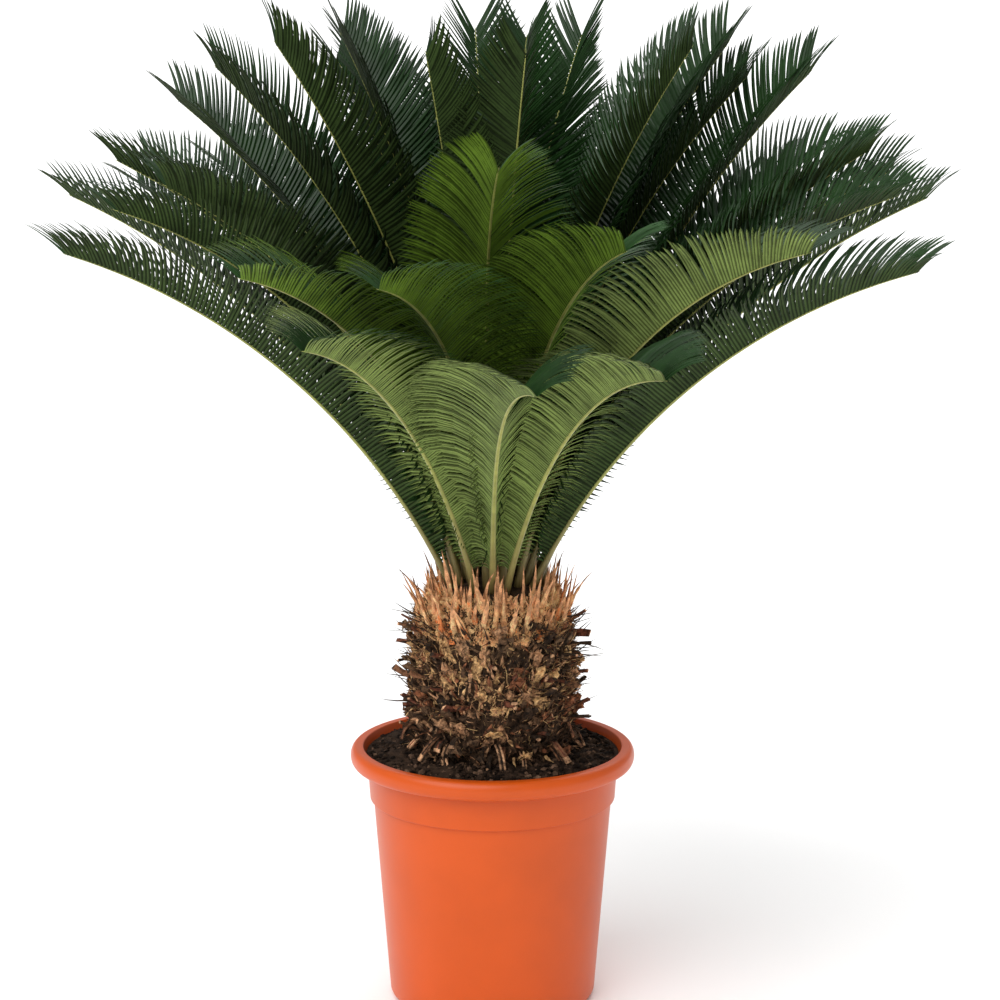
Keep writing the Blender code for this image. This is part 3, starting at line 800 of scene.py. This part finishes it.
def leaf_bases(stem, rng):
    """Broken bases of old leaves in a spiral, packed all over the stem."""
    count = stem.leaf_bases
    k = np.arange(count)
    part = (k + 0.5) / count
    z = STEM_FOOT + 0.002 + (STEM_LEDGE - 0.004 - STEM_FOOT) * part
    out, side = around(k * GOLDEN_ANGLE + rng.normal(0, 0.06, count))
    start = placed(out, stem_radius(stem, z) - 0.008, z - 0.010)
    rise = np.radians(rng.uniform(36, 72, count) - 26 * (1 - part) ** 3)
    first = tilted(out, side, rise, rng.normal(0, 0.18, count))
    last = tilted(out, side, rise + rng.normal(0.1, 0.3, count), rng.normal(0, 0.35, count))
    length = rng.uniform(0.016, 0.032, count)
    width = along_strand(rng, 0.0042, 0.0094, count, (0.9, 1.0, 1.05, 1.0, 0.95, 0.85, 0.7))
    depth = along_strand(rng, 0.0020, 0.0042, count, (1.3, 1.2, 1.0, 0.9, 0.8, 0.7, 0.5))
    strand = Strand(12, 6, pointed=False)
    coords = strand.bent(start, first, last, length, side, width, depth)
    frayed = np.interp(strand.ring, (0, 4, 6), (0.0007, 0.0011, 0.0026))[None, :, None]
    return strand, coords + rng.normal(0, 1, coords.shape) * frayed, z


def zone_tones(stem):
    """Tones of the stem, in the order of the columns of ZONE_CHANCES."""
    return [
        bark(stem, "bark foot", 0.13),
        bark(stem, "bark low", 0.28),
        bark(stem, "bark middle", 1.15),
        bark(stem, "bark tan", 1.95, (1.0, 0.92, 0.80)),
        bark(stem, "bark grey", 0.45, (0.94, 1.0, 1.0)),
        bark(stem, "bark red", 0.60, (1.12, 0.78, 0.68)),
        bark(stem, "bark dark", 0.12),
    ]


def zone_of(rng, z):
    """Which tone a thing at a height takes, with ragged limits between the zones."""
    zone = np.searchsorted(ZONE_TOPS, z + rng.normal(0, 0.007, len(z)))
    limits = np.cumsum(ZONE_CHANCES, axis=1)[zone, :-1]
    return np.sum(rng.random((len(z), 1)) > limits, axis=1)


def crust(stem, rng):
    """Crumbly lumps that fill the gaps between the leaf bases."""
    z = rng.uniform(STEM_FOOT + 0.002, STEM_LEDGE + 0.006, CRUMBS)
    out, _ = around(rng.uniform(0, math.tau, CRUMBS))
    sizes = 0.0010 + 0.0026 * rng.random(CRUMBS) ** 2
    radius = stem_radius(stem, z) + rng.uniform(-0.004, 0.008, CRUMBS)
    coords, faces = lumps(rng, placed(out, radius, z), sizes)
    return coords, faces, z


def shards(stem, rng):
    """Splintered wood and matted fibre, mostly upright, that gives the stem its ragged face."""
    count = stem.shards
    z = STEM_FOOT - 0.002 + (STEM_LEDGE + 0.004 - STEM_FOOT) * rng.random(count) ** 1.1
    out, side = around(rng.uniform(0, math.tau, count))
    low = np.exp(-(z - STEM_FOOT) / 0.016)
    start = placed(out, stem_radius(stem, z) + rng.uniform(-0.004, 0.007, count) + 0.006 * low, z)
    limp = rng.random(count) < 0.2 + 0.5 * low
    rise = np.where(limp, rng.uniform(-1.3, 0.2, count), rng.uniform(0.4, 1.4, count))
    first = tilted(out, side, rise, rng.normal(0, 0.5, count))
    last = tilted(out, side, rise + rng.normal(0, 0.35, count), rng.normal(0, 0.7, count))
    length = rng.uniform(0.007, 0.020, count) * (1 + 0.3 * low)
    width = along_strand(rng, 0.0006, 0.0024, count, (1.0, 1.1, 0.7, 0.0))
    strand = Strand(4, 3)
    coords = strand.bent(start, first, last, length, side, width, width * 0.45)
    return strand, coords + rng.normal(0, 0.00025, coords.shape), z


def stubs(stem, rng):
    """Flat stalks snapped off short, standing out of the stem."""
    count = stem.stubs
    z = STEM_FOOT + 0.018 + (STEM_LEDGE - STEM_FOOT - 0.022) * rng.random(count)
    out, side = around(rng.uniform(0, math.tau, count))
    start = placed(out, stem_radius(stem, z) - 0.005, z)
    first = tilted(out, side, np.radians(rng.uniform(-5, 30, count)), rng.normal(0, 0.25, count))
    last = tilted(out, side, np.radians(rng.uniform(-10, 45, count)), rng.normal(0, 0.35, count))
    length = rng.uniform(0.018, 0.036, count)
    turned = rng.normal(0, 0.6, (count, 3)) + side
    width = along_strand(rng, 0.0024, 0.0056, count, (1.2, 1.0, 0.95, 0.9))
    depth = along_strand(rng, 0.0010, 0.0024, count, (1.3, 1.0, 1.0, 1.0))
    strand = Strand(8, 3, pointed=False)
    coords = strand.bent(start, first, last, length, turned, width, depth)
    return strand, coords + rng.normal(0, 0.0003, coords.shape)


def straps(stem, rng):
    """Limp old stalks at the foot, each of three ribs side by side, hanging to the soil."""
    count = stem.straps
    z = rng.uniform(STEM_FOOT + 0.006, STEM_FOOT + 0.034, count)
    out, side = around(np.arange(count) * math.tau / count + rng.normal(0, 0.12, count))
    radius = stem_radius(stem, z) + 0.004
    first = tilted(out, side, np.radians(rng.uniform(-45, 0, count)), rng.normal(0, 0.4, count))
    last = tilted(out, side, np.radians(rng.uniform(-88, -50, count)), rng.normal(0, 0.8, count))
    length = rng.uniform(0.018, 0.040, count)
    half = rng.uniform(0.0009, 0.0017, count)
    width = half[:, None] * np.array((1.0, 1.1, 1.1, 1.1, 1.15, 1.2))
    depth = half[:, None] * np.array((0.8, 0.8, 0.8, 0.8, 0.8, 0.9))
    strand = Strand(6, 5, pointed=False)
    blocks = []
    for rib in (-1, 0, 1):
        start = placed(out, radius, z) + side * (1.7 * rib * half)[:, None]
        uneven = length * rng.uniform(0.94, 1.0, count)
        blocks.append(strand.bent(start, first, last, uneven, side, width, depth, 0.8))
    coords = np.concatenate(blocks)
    coords[..., 2] = np.maximum(coords[..., 2], STRAP_FLOOR)
    return strand, coords


def fibres(stem, rng):
    """Loose fibres that stand up, lie over and hang from the stem."""
    count = stem.fibres
    z = rng.uniform(STEM_FOOT, STEM_LEDGE + 0.012, count)
    out, side = around(rng.uniform(0, math.tau, count))
    start = placed(out, stem_radius(stem, z) + rng.uniform(-0.002, 0.007, count), z)
    first = tilted(out, side, rng.uniform(-0.3, 1.5, count), rng.normal(0, 0.9, count))
    last = tilted(out, side, rng.uniform(-0.9, 1.5, count), rng.normal(0, 1.1, count))
    length = 0.005 + 0.017 * rng.random(count) ** 2
    width = along_strand(rng, 0.00022, 0.00055, count, (1.0, 0.9, 0.6, 0.0))
    strand = Strand(3, 3)
    return strand, strand.bent(start, first, last, length, side, width, width), z


def spines(stem, rng):
    """Long dark spines, the stiff points of old scale leaves."""
    count = stem.spines
    z = STEM_FOOT + 0.030 + (STEM_LEDGE - STEM_FOOT - 0.022) * rng.random(count) ** 0.6
    out, side = around(rng.uniform(0, math.tau, count))
    start = placed(out, stem_radius(stem, z) - 0.002, z)
    rise = np.radians(rng.uniform(-8, 48, count))
    first = tilted(out, side, rise, rng.normal(0, 0.3, count))
    last = tilted(out, side, rise + rng.normal(0.1, 0.2, count), rng.normal(0, 0.45, count))
    length = rng.uniform(0.024, 0.056, count)
    width = along_strand(rng, 0.0009, 0.0016, count, (1.3, 1.0, 0.75, 0.45, 0.0))
    strand = Strand(4, 4)
    return strand, strand.bent(start, first, last, length, side, width, width * 0.7)


class PALM_OT_stem(bpy.types.Operator):
    """Builds the stem's rough core with the old leaf bases and the crumbs between them"""
    bl_idname = "palm.stem"
    bl_label = "Stem"

    def execute(self, context):
        stem = context.scene.palm_stem
        tones = zone_tones(stem)
        core = object_from("stem_core", stem_core(stem), [bark(stem, "bark core", 0.13)], 60)
        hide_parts("trunk")
        rng = np.random.default_rng(SEED + 20)
        strand, coords, z = leaf_bases(stem, rng)
        bases = joined("leaf_bases", coords, strand.faces, zone_of(rng, z)[:, None], tones)
        coords, faces, z = crust(stem, rng)
        crumbs = joined("stem_crust", coords, faces, zone_of(rng, z)[:, None], tones)
        strand, coords, z = shards(stem, rng)
        splinters = joined("stem_shards", coords, strand.faces, zone_of(rng, z)[:, None], tones)
        for piece in (core, bases, crumbs, splinters):
            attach(piece, "root")
        return {"FINISHED"}


class PALM_OT_stubs(bpy.types.Operator):
    """Builds the snapped stalks on the stem and the limp ones at its foot"""
    bl_idname = "palm.stubs"
    bl_label = "Old Stalks"

    def execute(self, context):
        stem = context.scene.palm_stem
        rng = np.random.default_rng(SEED + 30)
        tones = [
            bark(stem, "stalk red", 0.36, (1.12, 0.68, 0.70)),
            bark(stem, "stalk dark", 0.10),
            bark(stem, "stalk brown", 0.52, (1.05, 0.88, 0.84)),
            bark(stem, "stalk cut", 1.3, (0.98, 1.0, 1.05)),
        ]
        strand, coords = stubs(stem, rng)
        kinds = rng.choice(3, stem.stubs, p=(0.4, 0.35, 0.25))
        ends = np.where(rng.random(stem.stubs) < 0.5, 3, 1)
        slots = np.where(strand.face_end[None], ends[:, None], kinds[:, None])
        snapped = joined("snapped_stalks", coords, strand.faces, slots, tones)
        strand, coords = straps(stem, rng)
        edges = rng.choice((1, 2, 3), stem.straps, p=(0.3, 0.35, 0.35))
        middle = rng.choice((0, 1), stem.straps, p=(0.6, 0.4))
        kinds = np.concatenate((edges, middle, edges))
        cut = np.tile(rng.random(stem.straps) < 0.5, 3)
        slots = np.where((strand.face_part > 0.85)[None] & cut[:, None], 3, kinds[:, None])
        limp = joined("limp_stalks", coords, strand.faces, slots, tones)
        for piece in (snapped, limp):
            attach(piece, "root")
        return {"FINISHED"}


class PALM_OT_fibres(bpy.types.Operator):
    """Builds the loose fibres and the long dark spines of the stem"""
    bl_idname = "palm.fibres"
    bl_label = "Fibres and Spines"

    def execute(self, context):
        stem = context.scene.palm_stem
        rng = np.random.default_rng(SEED + 40)
        strand, coords, z = fibres(stem, rng)
        tones = zone_tones(stem) + [bark(stem, "fibre straw", 2.0, (1.0, 0.95, 0.8))]
        straw = rng.random(len(z)) < np.where(z < ZONE_TOPS[0], 0.06, 0.16)
        slots = np.where(straw, len(tones) - 1, zone_of(rng, z))[:, None]
        loose = joined("stem_fibres", coords, strand.faces, slots, tones)
        strand, coords = spines(stem, rng)
        dark = joined("stem_spines", coords, strand.faces, 0, [bark(stem, "spine dark", 0.14)])
        for piece in (loose, dark):
            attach(piece, "root")
        return {"FINISHED"}


# Scale leaves

def scale_leaves(stem, rng):
    """Woolly scales in whorls round the neck, each ending in a narrow brown point."""
    count = stem.scales
    k = np.arange(count)
    whorl = k % len(WHORL_RADII)
    out, side = around(k * math.tau / count + rng.normal(0, 0.05, count) + whorl * 0.7)
    radius = WHORL_RADII[whorl] + rng.normal(0, 0.002, count)
    start = placed(out, radius, WHORL_FEET[whorl] + rng.normal(0, 0.004, count))
    rise = np.radians(rng.uniform(62, 94, count))
    first = tilted(out, side, rise, rng.normal(0, 0.4, count))
    last = tilted(out, side, rise - rng.uniform(-0.1, 0.55, count), rng.normal(0, 0.7, count))
    length = 0.028 + 0.046 * rng.random(count)
    strand = Strand(8, 12)
    width = along_strand(rng, 0.0022, 0.0046, count, np.interp(strand.parts, *SCALE_WIDTH))
    depth = along_strand(rng, 0.0018, 0.0032, count, np.interp(strand.parts, *SCALE_DEPTH))
    coords = strand.bent(start, first, last, length, side, width, depth, 1.6)
    rough = rng.normal(0, 0.0007, coords.shape) * (1 - strand.ring / (strand.rings + 1))[None, :, None]
    return strand, coords + rough


def scale_slots(strand, rng, count):
    """Tones along each scale leaf: rust and tan below, paler above, then brown to a dark point."""
    part = strand.face_part[None] + rng.normal(0, 0.07, (count, len(strand.face_part)))
    part = part + rng.normal(0, 0.10, (count, 1))
    pick = rng.random((count, 1)) + rng.normal(0, 0.12, part.shape)
    below = np.where(pick < 0.22, 1, np.where(pick < 0.70, 0, 2))
    above = np.where(pick < 0.15, 1, np.where(pick < 0.50, 0, np.where(pick < 0.75, 2, 3)))
    return np.select([part < 0.28, part < 0.50, part < 0.86], [below, above, 3], 4)


def wool_patches(angles):
    """A slow change round the collar, from -1 to 1, that gathers the wool in clumps of one tone."""
    return (np.sin(5 * angles + 0.7) + np.sin(9 * angles + 2.1) + np.sin(16 * angles + 4.0)) / 3


def wool_kinds(rng, part, angles):
    """Tones of the wool: rust low down and in some clumps, pale in others, tan between."""
    warmth = 0.9 * wool_patches(angles) + 0.9 * (0.35 - part) + rng.normal(0, 0.30, len(part))
    return np.select([warmth > 0.75, warmth < -0.30], [1, 2], 0)[:, None]


def wool_tufts(stem, rng):
    """Matted wool over the lower halves of the scale leaves, and the tone of each tuft."""
    count = stem.tufts
    part = rng.random(count) ** 1.3
    angles = rng.uniform(0, math.tau, count)
    z = WOOL_FOOT + (0.047 + 0.010 * wool_patches(angles)) * part
    out, _ = around(angles)
    radius = WOOL_RADIUS - WOOL_NARROWING * part + rng.normal(0, 0.0018, count)
    coords, faces = lumps(rng, placed(out, radius, z), 0.0009 + 0.0027 * rng.random(count) ** 2)
    return coords, faces, wool_kinds(rng, part, angles)


def wool_hairs(stem, rng):
    """Fine wool over the tufts, and the tone of each hair."""
    count = stem.wool
    part = rng.random(count)
    angles = rng.uniform(0, math.tau, count)
    z = WOOL_FOOT + 0.002 + 0.048 * part
    out, side = around(angles)
    radius = WOOL_RADIUS + 0.0002 - WOOL_NARROWING * part + rng.normal(0, 0.002, count)
    start = placed(out, radius, z)
    first = tilted(out, side, rng.uniform(0.2, 1.5, count), rng.normal(0, 0.8, count))
    last = tilted(out, side, rng.uniform(-0.4, 1.5, count), rng.normal(0, 1.2, count))
    length = rng.uniform(0.003, 0.009, count)
    width = along_strand(rng, 0.00018, 0.00042, count, (1.0, 0.9, 0.7, 0.0))
    strand = Strand(3, 3)
    coords = strand.bent(start, first, last, length, side, width, width)
    return strand, coords, wool_kinds(rng, part, angles)


class PALM_OT_scales(bpy.types.Operator):
    """Builds the collar of woolly scale leaves under the fronds"""
    bl_idname = "palm.scales"
    bl_label = "Scale Leaves"

    def execute(self, context):
        stem = context.scene.palm_stem
        rng = np.random.default_rng(SEED + 50)
        tones = [
            wool(stem, "wool tan", 1.0),
            wool(stem, "wool rust", 0.78, (1.04, 0.70, 0.50)),
            wool(stem, "wool pale", 1.15, (1.0, 1.08, 1.15)),
            wool(stem, "scale tip", 0.86, (0.88, 0.94, 1.0)),
            wool(stem, "scale point", 0.26, (0.95, 0.88, 0.88)),
        ]
        strand, coords = scale_leaves(stem, rng)
        scales = joined("scale_leaves", coords, strand.faces, scale_slots(strand, rng, stem.scales), tones)
        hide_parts("scale_collar")
        coords, faces, slots = wool_tufts(stem, rng)
        tufts = joined("wool_tufts", coords, faces, slots, tones)
        strand, coords, slots = wool_hairs(stem, rng)
        hairs = joined("wool_hairs", coords, strand.faces, slots, tones)
        for piece in (scales, tufts, hairs):
            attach(piece, "root")
        return {"FINISHED"}


# Fronds

def frond_rows():
    """Each frond's name and its own values, worked out from its tier."""
    rng = random.Random(SEED)
    found = []
    for tier in TIERS:
        for k in range(tier.count):
            heading = tier.phase + 360 * k / tier.count + rng.uniform(-HEADING_SPREAD, HEADING_SPREAD)
            pitch = rng.uniform(-PITCH_SPREAD, PITCH_SPREAD) + tier.stagger * (-1) ** k
            length = tier.length * (1 + rng.uniform(-LENGTH_SPREAD, LENGTH_SPREAD))
            roll = rng.uniform(-ROLL_SPREAD, ROLL_SPREAD)
            sway = rng.uniform(-SWAY_SPREAD, SWAY_SPREAD)
            if k in tier.empty:
                continue
            front = max(0.0, -math.sin(math.radians(heading)))
            found.append({
                "tier": tier.name,
                "node": f"frond_{tier.name}_{k + 1:02d}",
                "foot": tier.foot,
                "front": front,
                "heading": math.radians(heading),
                "pitch_foot": math.radians(tier.pitch_foot + pitch + tier.lean_foot * front),
                "pitch_tip": math.radians(tier.pitch_tip + pitch + tier.lean_tip * front),
                "length": length * (1 - FRONT_SHORTER * front),
                "roll": math.radians(roll + ROLL_TO_FRONT * math.cos(math.radians(heading))),
                "sway": math.radians(sway),
            })
    return found


def frond_path(row):
    """Arrays along a frond: points, directions, sideways and upper side, at PATH_STEPS + 1 places."""
    s = np.arange(PATH_STEPS + 1) / PATH_STEPS
    outward, side = around(row["heading"] + row["sway"] * s ** SWAY_BEND)
    pitch = row["pitch_foot"] + (row["pitch_tip"] - row["pitch_foot"]) * s ** BEND
    along = outward * np.cos(pitch)[:, None] + UP * np.sin(pitch)[:, None]
    upper = np.cross(along, side)
    roll = row["roll"]
    turned_side = side * math.cos(roll) + upper * math.sin(roll)
    turned_upper = upper * math.cos(roll) - side * math.sin(roll)
    foot = outward[0] * row["foot"] + UP * dome_height(row["foot"])
    steps = along * (row["length"] / PATH_STEPS)
    points = foot + np.concatenate((np.zeros((1, 3)), np.cumsum(steps[:-1], axis=0)))
    return points, along, turned_side, turned_upper


def sampled(values, s):
    """Rows of an array along a frond at parts of its length."""
    place = np.clip(s, 0, 1) * PATH_STEPS
    k = np.minimum(PATH_STEPS - 1, place.astype(int))
    f = (place - k)[:, None]
    return values[k] * (1 - f) + values[k + 1] * f


def rib_half_width(settings, part):
    """Half the rib's width at a part of its length: flared at the foot, then evenly tapered."""
    return (settings.rib_width * (1 - RIB_TAPER * part) + settings.rib_flare * np.exp(-part / FLARE_PART)) / 2


def rib_coords(fronds, settings, strand):
    """The ribs: round, tapering to a point, widened at the foot and sunk a little into the stem."""
    s = strand.parts ** 1.15
    centres = []
    acrosses = []
    normals = []
    for row in fronds:
        points, along, side, _ = frond_path(row)
        centre = sampled(points, s)
        centre[0] -= along[0] * RIB_SINK
        across = unit(sampled(side, s))
        centres.append(centre)
        acrosses.append(across)
        normals.append(np.cross(unit(sampled(along, s)), across))
    width = np.tile(rib_half_width(settings, s), (len(fronds), 1))
    width[:, -1] = 0
    depth = width * (RIB_DEPTH / RIB_WIDTH)
    return strand.place(np.array(centres), np.array(acrosses), np.array(normals), width, depth)


def leaflet_values(row, settings, rng):
    """Foot, directions and sizes of one frond's leaflets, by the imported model's rule, finer."""
    inner = row["tier"] in INNER_TIERS
    count = round(settings.leaflets * (1 + FRONT_CLOSER * row["front"]) * (1 + INNER_CLOSER * inner))
    step = (LEAFLET_LAST - LEAFLET_FIRST) / count
    blocks = []
    for sign, offset in ((1, 0.25), (-1, 0.75)):
        part = LEAFLET_FIRST + step * (np.arange(count) + offset) + rng.normal(0, 0.05, count) * step
        s = np.clip((part - BARE_PART) / (1 - BARE_PART), 0, 1)
        length = settings.longest * half_wave(LEAFLET_SWELL, s) * row["length"] / FROND_LENGTH
        length *= np.clip(0.35 + (part - LEAFLET_FIRST) / 0.09, 0.3, 1.0)
        length *= 1 + rng.normal(0, 0.025, count)
        away = AWAY_AT_FOOT + (AWAY_AT_TIP - AWAY_AT_FOOT) * s ** AWAY_BEND + rng.normal(0, 0.9, count)
        above = ABOVE_AT_FOOT + (ABOVE_AT_TIP - ABOVE_AT_FOOT) * s + rng.normal(0, 1.5, count)
        blocks.append((np.full(count, sign), part, s, length, np.radians(away), np.radians(above)))
    return [np.concatenate(values) for values in zip(*blocks)]


def leaflet_coords(row, settings, strand, rng):
    """Coordinates of one frond's leaflets: narrow blades that curl back and bend to the frond's tip."""
    sign, part, s, length, away, above = leaflet_values(row, settings, rng)
    points, along, side, upper = [sampled(values, part) for values in frond_path(row)]
    half_rib = rib_half_width(settings, part)
    start = points + side * (sign * half_rib * 0.6)[:, None] + upper * (half_rib * 0.35)[:, None]
    curl = CURL_AT_TIP + (CURL_AT_FOOT - CURL_AT_TIP) * (1 - s) ** 3 + CURL_OF_FRONT * row["front"]
    curl = np.radians(curl) * rng.uniform(0.92, 1.08, len(s))
    sweep = np.radians(SWEEP + rng.normal(0, 2, len(s)))
    sink = 0.06 + 0.14 * (1 - s) * row["front"]
    u = strand.parts[None, :]
    raised = above[:, None] + curl[:, None] * (CURL_START - u ** CURL_BEND)
    leaning = (away[:, None] + sweep[:, None] * (0.5 - u))[..., None]
    wing = side[:, None] * (sign[:, None] * np.cos(raised))[..., None]
    wing = wing + upper[:, None] * np.sin(raised)[..., None]
    directions = along[:, None] * np.cos(leaning) + wing * np.sin(leaning)
    directions = unit(directions - UP * (sink[:, None] * u ** 2)[..., None])
    centre = followed(start, directions, length / strand.rings)
    across, normal = framed(directions, along * -sign[:, None])
    twist = (rng.normal(0.08, 0.07, len(s))[:, None] + TWIST_AT_END * u ** 2)[..., None]
    turned = across * np.cos(twist) + normal * np.sin(twist)
    normal = normal * np.cos(twist) - across * np.sin(twist)
    wider = (1 + FRONT_WIDER * row["front"]) * (1 + INNER_WIDER * (row["tier"] in INNER_TIERS))
    half = settings.width / 2 * wider * (1 - 0.25 * s) * np.clip(length / 0.05, 0.55, 1.0)
    width = half[:, None] * np.interp(strand.parts, *LEAFLET_OUTLINE)
    return strand.place(centre, turned, normal, width, width * LEAFLET_DEPTH, width * LEAFLET_FOLD)


def leaf_finishes(settings):
    """Upper side, underside and a darker copy of the underside as painted shade on half of it, for the old,
    grown and painted-lit tones.
    """
    finishes = []
    tones = (
        # The third value lifts each tone's upper side. The first and last tones are painted light on the
        # fronds that face the front: their undersides are much lighter, and the last one's upper side is
        # lifted by 1.5.
        ("old", settings.aged_and_lit_colour, 0.9),
        ("grown", settings.under_colour, 1.0),
        ("painted_lit", settings.painted_lit_colour, 1.5),
    )
    for tone, under, lift in tones:
        upper = shade(settings.upper_colour, lift)
        finishes.append(leaf_material(f"leaflet upper {tone}", upper, (0.32, 0.50), 0.3))
        finishes.append(leaf_material(f"leaflet under {tone}", under, (0.6, 0.8), 0.15))
        # Painted shade: this copy of the underside colour, darkened to 0.38, goes on one half of each
        # leaflet's underside.
        finishes.append(leaf_material(f"leaflet painted shade {tone}", shade(under, 0.38), (0.6, 0.8), 0.1))
    return finishes


def finish_of(row):
    """Which of the three tones a frond takes, by its tier and how far it faces the front: 0 old, 1 grown, 2
    painted-lit. The old and painted-lit tones are lighter as painted light.
    """
    if row["tier"] == "low" and row["front"] > 0.8:
        return 0
    if row["tier"] in ("spread", "rising") and row["front"] > 0.8:
        return 2
    if row["tier"] == "spread" and row["front"] > 0.6:
        return 0
    return 1


def crown_piece(name, tiers, settings, rng, leaves):
    """Leaflets of some tiers of fronds, joined in one piece that stands for those fronds."""
    chosen = [row for row in frond_rows() if row["tier"] in tiers]
    strand = Strand(4, 6)
    # The upper faces take slot 0 and the underside's left half slot 1. The other faces, mostly the
    # underside's right half, take slot 2, the painted shade.
    kind = np.where(strand.face_up, 0, np.where(strand.face_left, 1, 2))
    blocks = []
    slots = []
    for row in chosen:
        coords = leaflet_coords(row, settings, strand, rng)
        blocks.append(coords)
        slots.append(np.tile(3 * finish_of(row) + kind, (len(coords), 1)))
    piece = joined(name, np.concatenate(blocks), strand.faces, np.concatenate(slots), leaves)
    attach(piece, "root")
    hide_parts(*[row["node"] for row in chosen])


class PALM_OT_ribs(bpy.types.Operator):
    """Builds the ribs of all the fronds"""
    bl_idname = "palm.ribs"
    bl_label = "Frond Ribs"

    def execute(self, context):
        settings = context.scene.palm_fronds
        strand = Strand(8, 40)
        coords = rib_coords(frond_rows(), settings, strand)
        piece = joined("frond_ribs", coords, strand.faces, 0, [rib_material(settings)], smooth=True)
        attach(piece, "root")
        return {"FINISHED"}


class PALM_OT_leaflets(bpy.types.Operator):
    """Builds the leaflets of all the fronds, tier by tier"""
    bl_idname = "palm.leaflets"
    bl_label = "Leaflets"

    def execute(self, context):
        settings = context.scene.palm_fronds
        leaves = leaf_finishes(settings)
        rng = np.random.default_rng(SEED + 60)
        for name, tiers in CROWN:
            crown_piece(name, tiers, settings, rng, leaves)
        return {"FINISHED"}


# Stage

def sun(name, heading, height, strength, spread):
    """A broad soft light from a heading and a height in degrees."""
    light = bpy.data.lights.new(name, "SUN")
    light.energy = strength
    light.angle = math.radians(spread)
    obj = new_object(name, light)
    a = math.radians(heading)
    e = math.radians(height)
    towards = Vector((math.cos(a) * math.cos(e), math.sin(a) * math.cos(e), math.sin(e)))
    obj.location = towards * 4
    obj.rotation_euler = towards.to_track_quat("Z", "Y").to_euler()


def floor_material(colour):
    """A plain matt finish of one colour."""
    mat = bpy.data.materials.new("pale floor")
    mat.use_nodes = True
    shader = mat.node_tree.nodes["Principled BSDF"]
    shader.inputs["Base Color"].default_value = (*colour, 1)
    shader.inputs["Roughness"].default_value = 0.9
    shader.inputs["Specular IOR Level"].default_value = 0.0
    return mat


def soft_world():
    """An even white light from all around."""
    world = bpy.data.worlds.new("soft light")
    world.use_nodes = True
    background = world.node_tree.nodes["Background"]
    background.inputs["Color"].default_value = (1, 1, 1, 1)
    background.inputs["Strength"].default_value = WORLD_STRENGTH
    return world


class PALM_OT_stage(bpy.types.Operator):
    """Sets the plain floor, the soft light and the camera"""
    bl_idname = "palm.stage"
    bl_label = "Stage"

    def execute(self, context):
        settings = context.scene.palm_stage
        bm = bmesh.new()
        bmesh.ops.create_grid(bm, x_segments=1, y_segments=1, size=FLOOR_SIZE)
        floor = object_from("pale_floor", bm, [floor_material(settings.floor_colour)])
        context.scene.world = soft_world()
        sun("key light", *KEY_LIGHT)
        sun("back light", *BACK_LIGHT)
        camera = bpy.data.cameras.new("camera")
        camera.lens = settings.lens
        camera.sensor_width = 36
        camera.shift_x = settings.shift
        camera.clip_end = 300
        eye = new_object("camera", camera)
        eye.location = (0, -settings.distance, settings.camera_height)
        eye.rotation_euler = (math.pi / 2 - settings.pitch, 0, 0)
        context.scene.camera = eye
        context.scene.view_settings.view_transform = "Standard"
        return {"FINISHED"}


class VIEW3D_PT_sago_palm(bpy.types.Panel):
    """Lists the palm's settings and the operators that build it"""
    bl_label = "Sago Palm"
    bl_idname = "VIEW3D_PT_sago_palm"
    bl_space_type = "VIEW_3D"
    bl_region_type = "UI"
    bl_category = "Sago Palm"

    def draw(self, context):
        for title, settings, operators in SECTIONS:
            box = self.layout.box()
            box.label(text=title)
            group = getattr(context.scene, settings)
            for name in group.__annotations__:
                box.prop(group, name)
            for operator in operators:
                box.operator(operator.bl_idname)


SECTIONS = (
    ("Pot and soil", "palm_pot", (PALM_OT_pot, PALM_OT_soil)),
    ("Stem", "palm_stem", (PALM_OT_stem, PALM_OT_stubs, PALM_OT_fibres, PALM_OT_scales)),
    ("Fronds", "palm_fronds", (PALM_OT_ribs, PALM_OT_leaflets)),
    ("Stage", "palm_stage", (PALM_OT_stage,)),
)
SETTINGS = (
    ("palm_pot", PotSettings),
    ("palm_stem", StemSettings),
    ("palm_fronds", FrondSettings),
    ("palm_stage", StageSettings),
)
CLASSES = [group for _, group in SETTINGS]
CLASSES += [operator for _, _, operators in SECTIONS for operator in operators]
CLASSES.append(VIEW3D_PT_sago_palm)


def register():
    for item in CLASSES:
        bpy.utils.register_class(item)
    for name, group in SETTINGS:
        setattr(bpy.types.Scene, name, PointerProperty(type=group))


def unregister():
    for name, _ in SETTINGS:
        delattr(bpy.types.Scene, name)
    for item in reversed(CLASSES):
        bpy.utils.unregister_class(item)


def main():
    register()
    bpy.ops.palm.pot()
    bpy.ops.palm.soil()
    bpy.ops.palm.stem()
    bpy.ops.palm.stubs()
    bpy.ops.palm.fibres()
    bpy.ops.palm.scales()
    bpy.ops.palm.ribs()
    bpy.ops.palm.leaflets()
    bpy.ops.palm.stage()


if __name__ == "__main__":
    main()
